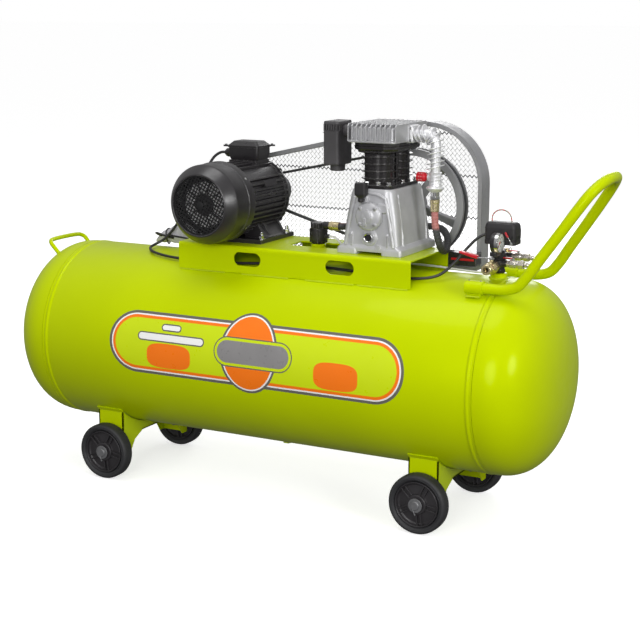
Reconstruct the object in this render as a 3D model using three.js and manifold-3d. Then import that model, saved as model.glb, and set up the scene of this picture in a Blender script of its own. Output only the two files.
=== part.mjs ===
// Belt-driven piston air compressor on a wheeled 300 litre receiver, as an assembly of separate parts.
// Units are millimetres. X runs along the receiver (controls and handle at +X), -Y is the front, Z is up.
// Everything is laid out from the receiver's axis; the last lines move the origin to the centre of the
// bottom of the whole assembly.
import * as THREE from 'three';
import { mergeVertices } from 'three/addons/utils/BufferGeometryUtils.js';
import Module from 'manifold-3d';

const wasm = await Module();
wasm.setup();

// ------------------------------------------------------------------ driving dimensions
const GAP = 0.3;                 // clearance between parts that rest on each other
const TANK = { radius: 250, half: 650, shell: 4, dish: 140, facets: 28 };
const DECK = { x0: -268, x1: 416, half: 118, top: 292.5, plate: 4, bend: 9 };
const WHEEL = { radius: 77.5, width: 40, x: 478, y: 185, z: -304.5, bore: 13, sides: 20 };
const LEG = { half: 41, plate: 4, face: 160, axle: 12.5 };
const MOTOR = { x: -148, z: 404.5, front: -95, rear: 95, radius: 92, fins: 20 };
const PUMP = { x: 283.5, y: 22, z: 391, base: DECK.top + GAP };
const DRIVE = { y: 188, width: 38, pulley: 45, flywheel: 150 };
const GUARD = { y0: 161, y1: 215, sheet: 2, x0: -262, x1: 489, z0: 226, small: 100, large: 160 };
const CONTROL = { x: 604, z: 262 };

// ------------------------------------------------------------------ finishes
function finish(color, roughness, metalness) {
  return new THREE.MeshStandardMaterial({ color, roughness, metalness });
}
const LIME = finish(0xc3d600, 0.38, 0.0);
const BLACK_PAINT = finish(0x2b2b2d, 0.45, 0.1);
const BLACK_PLASTIC = finish(0x222223, 0.5, 0.0);
const RUBBER = finish(0x1b1b1c, 0.8, 0.0);
const CAST = finish(0x9d9e9f, 0.5, 0.7);
const STEEL = finish(0x8e8f91, 0.4, 0.9);
const GREY_PAINT = finish(0x77787a, 0.45, 0.2);
const BRASS = finish(0xc9b070, 0.35, 0.9);
const RED = finish(0xc2182b, 0.4, 0.0);
const WHITE = finish(0xe9e9e6, 0.5, 0.0);

// ------------------------------------------------------------------ solid helpers
// Shared vertices only, no collapsed triangles, faces pointing out.
function tidy(geometry) {
  const bare = new THREE.BufferGeometry();
  bare.setAttribute('position', geometry.attributes.position.clone());
  if (geometry.index) bare.setIndex(geometry.index.clone());
  const merged = mergeVertices(bare, 1e-3);
  const at = merged.attributes.position;
  const faces = [];
  let volume = 0;
  const corner = [new THREE.Vector3(), new THREE.Vector3(), new THREE.Vector3()];
  for (let i = 0; i < merged.index.count; i += 3) {
    const ids = [0, 1, 2].map((k) => merged.index.getX(i + k));
    if (ids[0] === ids[1] || ids[1] === ids[2] || ids[2] === ids[0]) continue;
    ids.forEach((id, k) => corner[k].fromBufferAttribute(at, id));
    volume += corner[0].dot(corner[1].clone().cross(corner[2]));
    faces.push(ids);
  }
  if (volume < 0) faces.forEach((ids) => ids.reverse());
  merged.setIndex(faces.flat());
  return merged;
}

function solid(geometry) {
  const clean = tidy(geometry);
  const mesh = new wasm.Mesh({
    numProp: 3,
    vertProperties: new Float32Array(clean.attributes.position.array),
    triVerts: new Uint32Array(clean.index.array),
  });
  return new wasm.Manifold(mesh);
}

function join(first, ...others) {
  return others.reduce((sum, other) => sum.add(solid(other)), solid(first));
}

function cut(body, ...tools) {
  return tools.reduce((left, tool) => left.subtract(solid(tool)), body);
}

function geometryOf(body) {
  const mesh = body.getMesh();
  const geometry = new THREE.BufferGeometry();
  const points = new Float32Array((mesh.vertProperties.length / mesh.numProp) * 3);
  for (let i = 0; i < points.length / 3; i += 1) {
    for (let k = 0; k < 3; k += 1) points[3 * i + k] = mesh.vertProperties[mesh.numProp * i + k];
  }
  geometry.setAttribute('position', new THREE.BufferAttribute(points, 3));
  geometry.setIndex(Array.from(mesh.triVerts));
  return geometry;
}

// ------------------------------------------------------------------ shape helpers
function block(x0, x1, y0, y1, z0, z1) {
  const box = new THREE.BoxGeometry(x1 - x0, y1 - y0, z1 - z0);
  return box.translate((x0 + x1) / 2, (y0 + y1) / 2, (z0 + z1) / 2);
}

// A lathe is turned about +Y; this lays that axis along x, y or z and moves it to the place given.
function lay(geometry, axis, place) {
  if (axis === 'x') geometry.rotateZ(-Math.PI / 2);
  if (axis === 'z') geometry.rotateX(Math.PI / 2);
  return geometry.translate(...place);
}

// Profile points are [radius, distance along the axis]; it closes on the axis or on its first point.
function turned(profile, axis, place, sides = 24) {
  const points = profile.map(([radius, along]) => new THREE.Vector2(radius, along));
  return lay(new THREE.LatheGeometry(points, sides), axis, place);
}

function rod(axis, radius, from, to, place, sides = 16) {
  return turned([[0, from], [radius, from], [radius, to], [0, to]], axis, place, sides);
}

function ring(axis, inner, outer, from, to, place, sides = 24) {
  const loop = [[inner, from], [outer, from], [outer, to], [inner, to], [inner, from]];
  return turned(loop, axis, place, sides);
}

function outline(points) {
  return new THREE.Shape(points.map(([u, v]) => new THREE.Vector2(u, v)));
}

// A shape drawn in X-Z and given depth along Y, from y0 to y1.
function slabY(shape, y0, y1, curveSegments = 8) {
  const options = { depth: y1 - y0, bevelEnabled: false, curveSegments };
  return new THREE.ExtrudeGeometry(shape, options).rotateX(Math.PI / 2).translate(0, y1, 0);
}

// A shape drawn in Y-Z and given length along X, from x0 to x1.
function slabX(shape, x0, x1, curveSegments = 8) {
  const options = { depth: x1 - x0, bevelEnabled: false, curveSegments };
  const geometry = new THREE.ExtrudeGeometry(shape, options);
  const turn = new THREE.Matrix4().makeBasis(
    new THREE.Vector3(0, 1, 0), new THREE.Vector3(0, 0, 1), new THREE.Vector3(1, 0, 0));
  return geometry.applyMatrix4(turn).translate(x0, 0, 0);
}

// A shape drawn in X-Y and given height along Z, from z0 to z1.
function slabZ(shape, z0, z1, curveSegments = 8) {
  const options = { depth: z1 - z0, bevelEnabled: false, curveSegments };
  return new THREE.ExtrudeGeometry(shape, options).translate(0, 0, z0);
}

function roundRect(cx, cy, width, height, radius) {
  const shape = new THREE.Shape();
  const [w, h] = [width / 2, height / 2];
  shape.moveTo(cx - w + radius, cy - h);
  shape.lineTo(cx + w - radius, cy - h);
  shape.absarc(cx + w - radius, cy - h + radius, radius, -Math.PI / 2, 0, false);
  shape.absarc(cx + w - radius, cy + h - radius, radius, 0, Math.PI / 2, false);
  shape.absarc(cx - w + radius, cy + h - radius, radius, Math.PI / 2, Math.PI, false);
  shape.absarc(cx - w + radius, cy - h + radius, radius, Math.PI, 1.5 * Math.PI, false);
  return shape;
}

// A round bar, tube or cord along smooth points, with flat ends.
function tubeAlong(points, radius, steps, sides) {
  const path = new THREE.CatmullRomCurve3(points.map((p) => new THREE.Vector3(...p)), false, 'centripetal');
  const section = outline(Array.from({ length: sides }, (_, i) => {
    const angle = (2 * Math.PI * i) / sides;
    return [radius * Math.cos(angle), radius * Math.sin(angle)];
  }));
  return new THREE.ExtrudeGeometry(section, { steps, bevelEnabled: false, extrudePath: path });
}

// ------------------------------------------------------------------ the assembly
const compressor = new THREE.Group();

function part(name, geometry, material, home = compressor) {
  const mesh = new THREE.Mesh(tidy(geometry), material);
  mesh.geometry.computeVertexNormals();
  mesh.name = name;
  home.add(mesh);
  return mesh;
}

// ------------------------------------------------------------------ receiver
function tankSleeve(radius, from, to) {
  return rod('x', radius, from, to, [0, 0, 0], TANK.facets);
}

function tankBarrel() {
  const { radius, half, shell } = TANK;
  const tube = ring('x', radius - shell, radius, -half, half, [0, 0, 0], TANK.facets);
  const sockets = [
    rod('z', 19.5, 244, 297, [95, 0, 0], 16),
    rod('z', 21, 244, CONTROL.z - GAP, [CONTROL.x, 0, 0], 16),
    rod('z', 15, -262, -246, [0, 0, 0], 12),
  ];
  const bores = [
    rod('z', 9, 200, 300, [95, 0, 0], 10),
    rod('z', 9, 200, 300, [CONTROL.x, 0, 0], 10),
  ];
  return geometryOf(cut(join(tube, ...sockets), ...bores));
}

// Points [radius, depth] from the rim of a dished end to its middle, squarer than an ellipse.
function dishCurve(radius, depth, steps) {
  const squareness = 2.4;
  return Array.from({ length: steps + 1 }, (_, i) => {
    const angle = (Math.PI / 2) * (i / steps);
    const reach = i === steps ? 0 : radius * Math.cos(angle) ** (2 / squareness);
    return [reach, depth * Math.sin(angle) ** (2 / squareness)];
  });
}

// A dished end, open towards the barrel.
function tankEnd(side) {
  const { radius, shell, dish, half } = TANK;
  const outer = dishCurve(radius, dish, 6).reverse();
  const inner = dishCurve(radius - 2 * shell, dish - 2 * shell, 3);
  const shellGeometry = turned([...outer, ...inner], 'x', [half + GAP, 0, 0], TANK.facets);
  return side > 0 ? shellGeometry : shellGeometry.rotateZ(Math.PI);
}

part('tank_barrel', tankBarrel(), LIME);
part('tank_end_left', tankEnd(-1), LIME);
part('tank_end_right', tankEnd(1), LIME);

// ------------------------------------------------------------------ deck over the receiver
function deck() {
  const { x0, x1, half, top, plate, bend } = DECK;
  const foot = 223.2;
  const section = new THREE.Shape();
  section.moveTo(-half, foot - 2);
  section.lineTo(-half, top - bend);
  section.absarc(-half + bend, top - bend, bend, Math.PI, Math.PI / 2, true);
  section.lineTo(half - bend, top);
  section.absarc(half - bend, top - bend, bend, Math.PI / 2, 0, true);
  section.lineTo(half, foot - 2);
  section.lineTo(half - plate, foot);
  section.lineTo(half - plate, top - bend);
  section.absarc(half - bend, top - bend, bend - plate, 0, Math.PI / 2, false);
  section.lineTo(-half + bend, top - plate);
  section.absarc(-half + bend, top - bend, bend - plate, Math.PI / 2, Math.PI, false);
  section.lineTo(-half + plate, foot);
  const channel = solid(slabX(section, x0, x1, 2));
  const slots = [-55, 218].map((x) => slabY(roundRect(x, 259, 82, 36, 17.9), -half - 10, half + 10, 3));
  const valveHole = slabZ(roundRect(95, 6, 146, 78, 12), top - 20, top + 10, 1);
  return geometryOf(cut(channel, ...slots, valveHole));
}

part('deck', deck(), LIME);

// ------------------------------------------------------------------ legs, axles and wheels
// One folded saddle at each end of the barrel, with the two stub axles welded through it.
function saddle(cx) {
  const { half, plate, face, axle } = LEG;
  const cheek = outline([
    [-face, -150], [-face, -332], [-136, -332], [-104, -286], [-66, -268],
    [66, -268], [104, -286], [136, -332], [face, -332], [face, -150],
  ]);
  const cheeks = [-1, 1].map((s) => {
    const inner = cx + s * (half - plate);
    const outer = cx + s * half;
    return slabX(cheek, Math.min(inner, outer), Math.max(inner, outer));
  });
  const faces = [-1, 1].map((s) => {
    const ys = [s * face, s * (face - plate)].sort((a, b) => a - b);
    return block(cx - half, cx + half, ys[0], ys[1], -332, -150);
  });
  const strap = block(cx - half, cx + half, -70, 70, -268, -264);
  const axles = [-1, 1].flatMap((s) => {
    const span = (a, b, r) => rod('y', r, Math.min(s * a, s * b), Math.max(s * a, s * b), [cx, 0, WHEEL.z], 10);
    return [
      span(face - 12, 213, axle - 0.6),
      span(face - 1, WHEEL.y - WHEEL.width / 2 - 0.6, 20),
      span(WHEEL.y + WHEEL.width / 2 + 0.6, 209, 18.5),
    ];
  });
  const frame = join(cheeks[0], cheeks[1], ...faces, strap, ...axles);
  return geometryOf(cut(frame, tankSleeve(TANK.radius + 0.5, cx - 60, cx + 60)));
}

function wheel(cx, side) {
  const { radius, width, bore, sides, y, z } = WHEEL;
  const w = width / 2;
  const rim = 60;
  const hub = 24;
  const web = 6;
  const profile = [
    [bore, -w], [hub, -w], [rim, -web], [rim, -w + 3], [radius - 4, -w + 3], [radius, -w + 8],
    [radius, w - 8], [radius - 4, w - 3], [rim, w - 3], [rim, web], [hub, w], [bore, w], [bore, -w],
  ];
  return turned(profile, 'y', [cx, side * y, z], sides);
}

[['left', -1], ['right', 1]].forEach(([name, side]) => {
  part(`saddle_${name}`, saddle(side * WHEEL.x), LIME);
  [['front', -1], ['rear', 1]].forEach(([end, way]) => {
    part(`wheel_${end}_${name}`, wheel(side * WHEEL.x, way), RUBBER);
  });
});

// ------------------------------------------------------------------ handles
function pullHandle() {
  const low = 242;
  const half = (way) => [
    [576, way * 118, low], [620, way * 118, low], [664, way * 118, low + 1], [695, way * 117, low + 10],
    [718, way * 115, low + 34], [748, way * 110, low + 78], [796, way * 102, low + 147],
    [836, way * 94, low + 206], [858, way * 84, low + 238], [874, way * 62, low + 259],
  ];
  const route = [...half(-1), [884, -28, low + 270], [884, 28, low + 270], ...half(1).reverse()];
  const sleeves = [-1, 1].map((way) => ring('x', 8, 17, 566, 612, [0, way * 118, low], 10));
  const body = join(tubeAlong(route, 13.5, 28, 8), ...sleeves);
  return geometryOf(cut(body, tankSleeve(TANK.radius + 0.6, 500, 660)));
}

function liftHandle() {
  const route = [
    [-700, -77, 214], [-716, -77, 231], [-730, -77, 246], [-738, -68, 252], [-741, -50, 254],
    [-741, 50, 254], [-738, 68, 252], [-730, 77, 246], [-716, 77, 231], [-700, 77, 214],
  ];
  const skin = 1;
  const end = dishCurve(TANK.radius + skin, TANK.dish + skin, 6).reverse();
  const core = turned([...end, [TANK.radius + skin, -20], [0, -20]], 'x', [TANK.half, 0, 0], TANK.facets);
  return geometryOf(cut(solid(tubeAlong(route, 6, 22, 8)), core.rotateZ(Math.PI)));
}

part('handle_right', pullHandle(), LIME);
part('handle_left', liftHandle(), LIME);

// ------------------------------------------------------------------ electric motor, axis along Y
const motorAt = (y = 0) => [MOTOR.x, y, MOTOR.z];

// Cooling ribs round the frame: a toothed outline, open along its bore.
function finnedOutline(count, root, tip) {
  const points = [];
  for (let i = 0; i < count; i += 1) {
    const pitch = (2 * Math.PI) / count;
    [[-0.28, root], [-0.16, tip], [0.16, tip], [0.28, root]].forEach(([turn, radius]) => {
      const angle = (i + turn) * pitch;
      points.push([MOTOR.x + radius * Math.cos(angle), MOTOR.z + radius * Math.sin(angle)]);
    });
  }
  return outline(points);
}

function motorFrame() {
  const { x, z, front, rear, radius, fins } = MOTOR;
  const ribs = slabY(finnedOutline(fins, radius - 1, radius + 6), front, rear);
  const foot = block(x - 105, x + 105, -66, 113, PUMP.base, PUMP.base + 11);
  const webs = [-88, 42].map((dx) => block(x + dx, x + dx + 46, 0, 12, PUMP.base + 5, z - 60));
  const pedestal = block(x - 40, x + 40, 20, 86, z + 70, 502.7);
  const boltHoles = [-1, 1].flatMap((s) => [-45, 92].map((y) => rod(
    'z', 6, PUMP.base - 5, PUMP.base + 30, [x + s * 95, y, 0], 8)));
  const bore = rod('y', 80.3, front + 8, rear + 30, motorAt(), 20);
  const bearingBore = rod('y', 20.5, front - 10, front + 30, motorAt(), 12);
  return geometryOf(cut(join(ribs, foot, ...webs, pedestal), bore, bearingBore, ...boltHoles));
}

function motorEndShield() {
  const { rear } = MOTOR;
  const loop = [
    [20.5, rear + 2], [74, rear + 2], [74, rear + GAP], [99, rear + GAP], [99, rear + 9], [88, rear + 20],
    [44, rear + 28], [36, rear + 36], [20.5, rear + 36], [20.5, rear + 2],
  ];
  return turned(loop, 'y', motorAt(), 16);
}

function motorRotor() {
  const profile = [
    [0, -168], [11, -168], [11, -150], [19, -150], [19, -66], [49, -66], [49, 66], [19.5, 66], [19.5, 132],
    [14, 132], [14, 205], [0, 205],
  ];
  return turned(profile, 'y', motorAt(), 14);
}

function coolingFan() {
  const hub = ring('y', 11.4, 24, -178, -152, motorAt(), 14);
  const disc = ring('y', 20, 82, -155, -152, motorAt(), 14);
  const blades = Array.from({ length: 6 }, (_, i) => {
    const blade = block(20, 82, -178, -153, -1.5, 1.5);
    return blade.rotateY((i * Math.PI) / 3).translate(MOTOR.x, 0, MOTOR.z);
  });
  return geometryOf(join(hub, disc, ...blades));
}

// Pressed steel cowl: open at the back, with a slotted round grille in its front face.
function fanCover() {
  const front = -205;
  const back = -92;
  const wall = 2;
  const loop = [
    [0, front], [88, front], [96, front + 5], [100, front + 14], [106, back], [106 - wall, back],
    [98, front + 15], [94, front + 7], [87, front + wall], [0, front + wall],
  ];
  const slots = [];
  const bars = 5;
  const pitch = 27;
  for (let i = 0; i < bars; i += 1) {
    const dz = (i - (bars - 1) / 2) * pitch;
    const reach = Math.sqrt(76 ** 2 - (Math.abs(dz) + 7) ** 2);
    [-1, 1].forEach((s) => {
      const xs = [MOTOR.x + s * 5, MOTOR.x + s * reach].sort((a, b) => a - b);
      slots.push(block(xs[0], xs[1], front - 5, front + 8, MOTOR.z + dz - 7, MOTOR.z + dz + 7));
    });
  }
  return geometryOf(cut(solid(turned(loop, 'y', motorAt(), 24)), ...slots));
}

function terminalBox() {
  const [x0, x1, y0, y1] = [-193, -100, 18, 88];
  const shell = solid(slabZ(roundRect((x0 + x1) / 2, (y0 + y1) / 2, x1 - x0, y1 - y0, 6), 503, 536, 2));
  const inside = block(x0 + 4, x1 - 4, y0 + 4, y1 - 4, 507, 540);
  const glandHole = rod('x', 8, x0 - 5, x0 + 10, [0, 40, 520], 10);
  return geometryOf(cut(shell, inside, glandHole));
}

function terminalBoxLid() {
  const centre = [-146.5, 53];
  const rim = slabZ(roundRect(...centre, 97, 74, 7), 536.3, 543, 1);
  const crown = slabZ(roundRect(...centre, 80, 56, 7), 542, 553, 1);
  const ears = [[-196, 20], [-97, 86]].map(([x, y]) => rod('z', 6, 537, 543, [x, y, 0], 10));
  const hollow = block(-186, -107, 25, 81, 536, 541);
  return geometryOf(cut(join(rim, crown, ...ears), hollow));
}

function motorPulley() {
  const { y, width, pulley } = DRIVE;
  const [a, b] = [y - width / 2, y + width / 2];
  const groove = pulley - 11;
  const loop = [
    [14.3, a], [pulley, a], [pulley, y - 7.5], [groove, y - 4], [groove, y + 4], [pulley, y + 7.5], [pulley, b],
    [14.3, b], [14.3, a],
  ];
  return turned(loop, 'y', motorAt(), 20);
}

part('motor_frame', motorFrame(), BLACK_PAINT);
part('motor_end_shield', motorEndShield(), BLACK_PAINT);
part('motor_stator', ring('y', 50, 79, -70, 70, motorAt(), 20), STEEL);
part('motor_rotor', motorRotor(), STEEL);
part('cooling_fan', coolingFan(), BLACK_PLASTIC);
part('fan_cover', fanCover(), BLACK_PAINT);
part('terminal_box', terminalBox(), BLACK_PAINT);
part('terminal_box_lid', terminalBoxLid(), BLACK_PAINT);
part('terminal_gland', turned([
  [5, -20], [8, -20], [11, -16], [11, -10], [13, -10], [13, -GAP], [7.5, -GAP], [7.5, 6], [5, 6], [5, -20],
], 'x', [-193, 40, 520], 8), BLACK_PLASTIC);
part('motor_pulley', motorPulley(), CAST);

// ------------------------------------------------------------------ pump
const crankAt = (y = 0) => [PUMP.x, y, PUMP.z];
const BORE_Y = [-24, 68];
const FILLER = { x: 265, y: -92, z: 432 };

function crankcase() {
  const { x, base } = PUMP;
  const side = outline([
    [x - 91, base], [x - 34, base], [x - 28, base + 8], [x + 28, base + 8], [x + 34, base], [x + 91, base],
    [x + 91, base + 16], [x + 80, base + 24], [x + 60, 453], [x + 57, 459], [x - 57, 459], [x - 60, 453],
    [x - 80, base + 24], [x - 91, base + 16],
  ]);
  const body = join(
    slabY(side, -80, 128),
    rod('y', 42, 126, 140, crankAt(), 16),
    block(x - 91, x - 60, -85, 131, base, base + 16),
    block(x + 60, x + 91, -85, 131, base, base + 16));
  const chamber = rod('y', 62, -68, 116, crankAt(), 16);
  const nose = rod('y', 24, -90, 150, crankAt(), 16);
  const window = rod('y', 8, -90, -60, [x, 0, 337], 12);
  const filler = rod('y', 6, -90, -60, [FILLER.x, 0, FILLER.z], 8);
  const cylinderBores = BORE_Y.map((y) => rod('z', 36, 430, 470, [x, y, 0], 12));
  return geometryOf(cut(body, chamber, nose, window, ...cylinderBores, filler));
}

function bearingCover() {
  const loop = [
    [0, -100], [24, -100], [30, -96], [37, -90], [37, -80.3], [23.5, -80.3], [23.5, -66], [17, -66], [17, -88],
    [0, -88],
  ];
  return turned(loop, 'y', crankAt(), 16);
}

function crankshaft() {
  const shaft = turned([
    [0, -84], [16, -84], [16, -54], [22, -54], [22, 104], [16, 104], [16, 206], [0, 206],
  ], 'y', crankAt(), 12);
  const webs = [-52, -10, 41, 83].map((y, i) => {
    const way = i < 2 ? 1 : -1;
    return slabY(roundRect(PUMP.x, PUMP.z - way * 14, 52, 76, 18), y, y + 12, 1);
  });
  const pins = [[-42, -8, 1], [51, 85, -1]].map(([a, b, way]) => rod(
    'y', 17, a, b, [PUMP.x, 0, PUMP.z + way * 22], 10));
  return geometryOf(join(shaft, ...webs, ...pins));
}

// Two finned barrels side by side on one foot, joined by a web.
function cylinderBlock() {
  const { x, y } = PUMP;
  const barrels = BORE_Y.map((by) => rod('z', 38, 459.3, 553.5, [x, by, 0], 12));
  const bridge = block(x - 16, x + 16, y - 16, y + 16, 459.3, 553.5);
  const flange = slabZ(roundRect(x, y, 102, 180, 14), 459.3, 468, 1);
  const top = slabZ(roundRect(x, y, 100, 182, 30), 548, 553.7, 2);
  const ribs = [482, 500, 518, 536].flatMap((z) => BORE_Y.map((by) => rod('z', 46, z, z + 3.5, [x, by, 0], 16)));
  const bores = BORE_Y.map((by) => rod('z', 32.8, 450, 560, [x, by, 0], 12));
  return geometryOf(cut(join(flange, ...barrels, bridge, top, ...ribs), ...bores));
}

function piston(y) {
  const z = PUMP.z + 116;
  const loop = [[0, 22], [31.6, 22], [31.6, -24], [27, -24], [27, 14], [0, 14]];
  return turned(loop, 'z', [PUMP.x, y, z], 12);
}

function valvePlate() {
  const { x, y } = PUMP;
  const plate = slabZ(outline([
    [x - 62, y - 64], [x - 34, y - 92], [x + 34, y - 92], [x + 62, y - 64],
    [x + 62, y + 64], [x + 34, y + 92], [x - 34, y + 92], [x - 62, y + 64],
  ]), 554, 574);
  const ports = BORE_Y.flatMap((by) => [-16, 16].map((dx) => rod('z', 9, 540, 580, [x + dx, by, 0], 8)));
  return geometryOf(cut(solid(plate), ...ports));
}

// Ribbed head with an inlet spigot to the filter and an outlet spigot to the aftercooler.
function cylinderHead() {
  const { x, y } = PUMP;
  const body = slabZ(roundRect(x, y, 134, 200, 10), 574.3, 612, 1);
  const ribs = Array.from({ length: 5 }, (_, i) => {
    const along = y - 88 + i * 44;
    return block(x - 68, x + 68, along - 2, along + 2, 578, 622);
  });
  const flanks = [-1, 1].flatMap((s) => Array.from({ length: 3 }, (_, i) => {
    const across = x - 46 + i * 46;
    return block(across - 2, across + 2, s > 0 ? y + 98 : y - 104, s > 0 ? y + 104 : y - 98, 578, 614);
  }));
  const pads = [-1, 1].map((s) => rod(
    'x', 20, Math.min(s * 60, s * 72), Math.max(s * 60, s * 72), [x, y, 594], 10));
  const chambers = BORE_Y.map((by) => block(x - 50, x + 50, by - 32, by + 32, 570, 600));
  const ports = rod('x', 10, -80, 80, [x, y, 590], 8);
  return geometryOf(cut(join(body, ...ribs, ...flanks, ...pads), ...chambers, ports));
}

function intakeFilter() {
  const [x0, x1, y0, y1] = [118, 164, -20, 60];
  const shape = roundRect((x0 + x1) / 2, (y0 + y1) / 2, x1 - x0, y1 - y0, 8);
  const louvres = Array.from({ length: 4 }, (_, i) => {
    const y = y0 + 12 + i * 16;
    return block(x0 - 4, x1 - 10, y, y + 7, 604, 630);
  });
  const box = join(
    slabZ(shape, 507, 620, 2),
    rod('z', 20, 490, 510, [141, 20, 0], 12),
    rod('x', 17, 150, PUMP.x - 72.4, [0, PUMP.y, 594], 10));
  const bore = rod('x', 9, 155, 230, [0, PUMP.y, 594], 8);
  return geometryOf(cut(box, ...louvres, bore));
}

function flywheel() {
  const { y, width, flywheel: radius } = DRIVE;
  const [a, b] = [y - width / 2, y + width / 2];
  const groove = radius - 11;
  const inner = radius - 20;
  const loop = [
    [inner, a], [radius, a], [radius, y - 7.5], [groove, y - 4], [groove, y + 4], [radius, y + 7.5],
    [radius, b], [inner, b], [inner, a],
  ];
  const spokes = Array.from({ length: 5 }, (_, i) => {
    const blade = block(24, inner + 4, -5, 5, -14, 14).rotateX(0.5);
    return blade.rotateY((i * 2 * Math.PI) / 5 + 0.35).translate(PUMP.x, y, PUMP.z);
  });
  const rim = turned(loop, 'y', crankAt(), 28);
  const hub = ring('y', 16.5, 32, a + 2, b + 2, crankAt(), 12);
  return geometryOf(cut(join(rim, hub, ...spokes), rod('y', 16.5, a - 30, b + 30, crankAt(), 12)));
}

part('crankcase', crankcase(), CAST);
part('bearing_cover', bearingCover(), CAST);
part('sight_glass', turned([
  [0, -90], [10, -90], [13, -87], [13, -80.3], [7.7, -80.3], [7.7, -72], [0, -72],
], 'y', [PUMP.x, 0, 337], 12), BLACK_PLASTIC);
part('oil_breather', geometryOf(join(
  rod('y', 7, -96, -80.3, [FILLER.x, 0, FILLER.z], 8),
  rod('z', 7, FILLER.z - 4, FILLER.z + 10, [FILLER.x, FILLER.y, 0], 8),
  block(FILLER.x - 13, FILLER.x + 17, -105, -82, FILLER.z + 6, FILLER.z + 44))), BLACK_PLASTIC);
part('cylinder_block', cylinderBlock(), BLACK_PAINT);
part('piston_front', piston(BORE_Y[0]), CAST);
part('piston_rear', piston(BORE_Y[1]), CAST);
part('crankshaft', crankshaft(), STEEL);
part('valve_plate', valvePlate(), BLACK_PAINT);
part('cylinder_head', cylinderHead(), CAST);
part('intake_filter', intakeFilter(), BLACK_PLASTIC);
part('flywheel', flywheel(), GREY_PAINT);

// ------------------------------------------------------------------ belt
// The outline of an open belt round two wheels, at one distance from their rims.
function beltShape(rSmall, rLarge) {
  const [x1, z1, x2, z2] = [MOTOR.x, MOTOR.z, PUMP.x, PUMP.z];
  const centres = Math.atan2(z2 - z1, x2 - x1);
  const lean = Math.asin((rLarge - rSmall) / Math.hypot(x2 - x1, z2 - z1));
  const top = centres + Math.PI / 2 + lean;
  const bottom = centres - Math.PI / 2 - lean;
  const shape = new THREE.Shape();
  shape.absarc(x1, z1, rSmall, top, bottom + 2 * Math.PI, false);
  shape.absarc(x2, z2, rLarge, bottom, top, false);
  return shape;
}

function vBelt() {
  const { y, pulley, flywheel: large } = DRIVE;
  const [outer, inner] = [0.6, -6.5];
  const band = solid(slabY(beltShape(pulley + outer, large + outer), y - 4.6, y + 4.6, 12));
  const core = slabY(beltShape(pulley + inner, large + inner), y - 20, y + 20, 12);
  return geometryOf(cut(band, core));
}

part('v_belt', vBelt(), RUBBER);

// ------------------------------------------------------------------ belt guard
const GUARD_LARGE = [GUARD.x1 - GUARD.large, 454];
const GUARD_SMALL = [GUARD.x0 + GUARD.small, MOTOR.z];

// The guard's outline in X-Z: flat foot, straight ends, a small arch over the motor pulley and a large
// one over the flywheel, joined by their common tangent.
function guardShape(inset) {
  const { x0, x1, z0, small, large } = GUARD;
  const [dx, dz] = [GUARD_LARGE[0] - GUARD_SMALL[0], GUARD_LARGE[1] - GUARD_SMALL[1]];
  const top = Math.atan2(dz, dx) + Math.PI / 2 + Math.asin((large - small) / Math.hypot(dx, dz));
  const shape = new THREE.Shape();
  const corner = 24 - inset;
  shape.moveTo(x0 + inset + corner, z0 + inset);
  shape.lineTo(x1 - inset - corner, z0 + inset);
  shape.absarc(x1 - inset - corner, z0 + inset + corner, corner, -Math.PI / 2, 0, false);
  shape.absarc(...GUARD_LARGE, large - inset, 0, top, false);
  shape.absarc(...GUARD_SMALL, small - inset, top, Math.PI, false);
  shape.absarc(x0 + inset + corner, z0 + inset + corner, corner, Math.PI, 1.5 * Math.PI, false);
  return shape;
}

// Half of the rim's depth, bent in or left open at its outer face.
const rimHalf = (y0, y1) => cut(
  solid(slabY(guardShape(0), y0, y1, 6)), slabY(guardShape(GUARD.sheet), y0 - 5, y1 + 5, 6));

// The wire panel behind the wheels, given here as a thin panel with windows.
function wirePanel(panelAt) {
  const wire = 2;
  const panel = solid(slabY(guardShape(0.5), panelAt, panelAt + wire, 6));
  const inner = solid(slabY(guardShape(14), panelAt - 5, panelAt + 10, 4));
  const windows = [];
  const cell = { w: 166, h: 168, bar: 16 };
  for (let column = 0; column < 4; column += 1) {
    for (let row = 0; row < 2; row += 1) {
      const x = GUARD.x0 + 16 + column * (cell.w + cell.bar);
      const z = GUARD.z0 + 14 + row * (cell.h + cell.bar);
      windows.push(block(x, x + cell.w, panelAt - 3, panelAt + 5, z, z + cell.h));
    }
  }
  const holes = windows.map((w) => solid(w).intersect(inner));
  const open = holes.reduce((left, hole) => left.subtract(hole), panel);
  return open;
}

// The side towards the pump is open, with a flange along its edge.
function guardFront() {
  const middle = (GUARD.y0 + GUARD.y1) / 2;
  const { y0 } = GUARD;
  const flange = cut(solid(slabY(guardShape(0.5), y0, y0 + 2, 6)), slabY(guardShape(12), y0 - 5, y0 + 10, 6));
  return geometryOf(rimHalf(y0, middle - 0.2).add(flange));
}

function guardRear() {
  const middle = (GUARD.y0 + GUARD.y1) / 2;
  return geometryOf(rimHalf(middle + 0.2, GUARD.y1).add(wirePanel(GUARD.y1 - 2)));
}

part('guard_front', guardFront(), GREY_PAINT);
part('guard_rear', guardRear(), GREY_PAINT);
part('guard_rail', geometryOf(join(
  block(300, 492, DECK.half + GAP, GUARD.y0 - GAP, 249, 253),
  block(300, 492, DECK.half + GAP, DECK.half + 4.3, 249, 281),
  block(300, 492, GUARD.y0 - 4.3, GUARD.y0 - GAP, 249, 281),
  block(488, 492, DECK.half + GAP, GUARD.y0 - GAP, 249, 281),
  block(300, 492, DECK.half + GAP, GUARD.y0 - GAP, 277, 281))), BLACK_PAINT);

// ------------------------------------------------------------------ delivery line
const RISER_X = 418;
const RELIEF_Z = 486;

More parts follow.
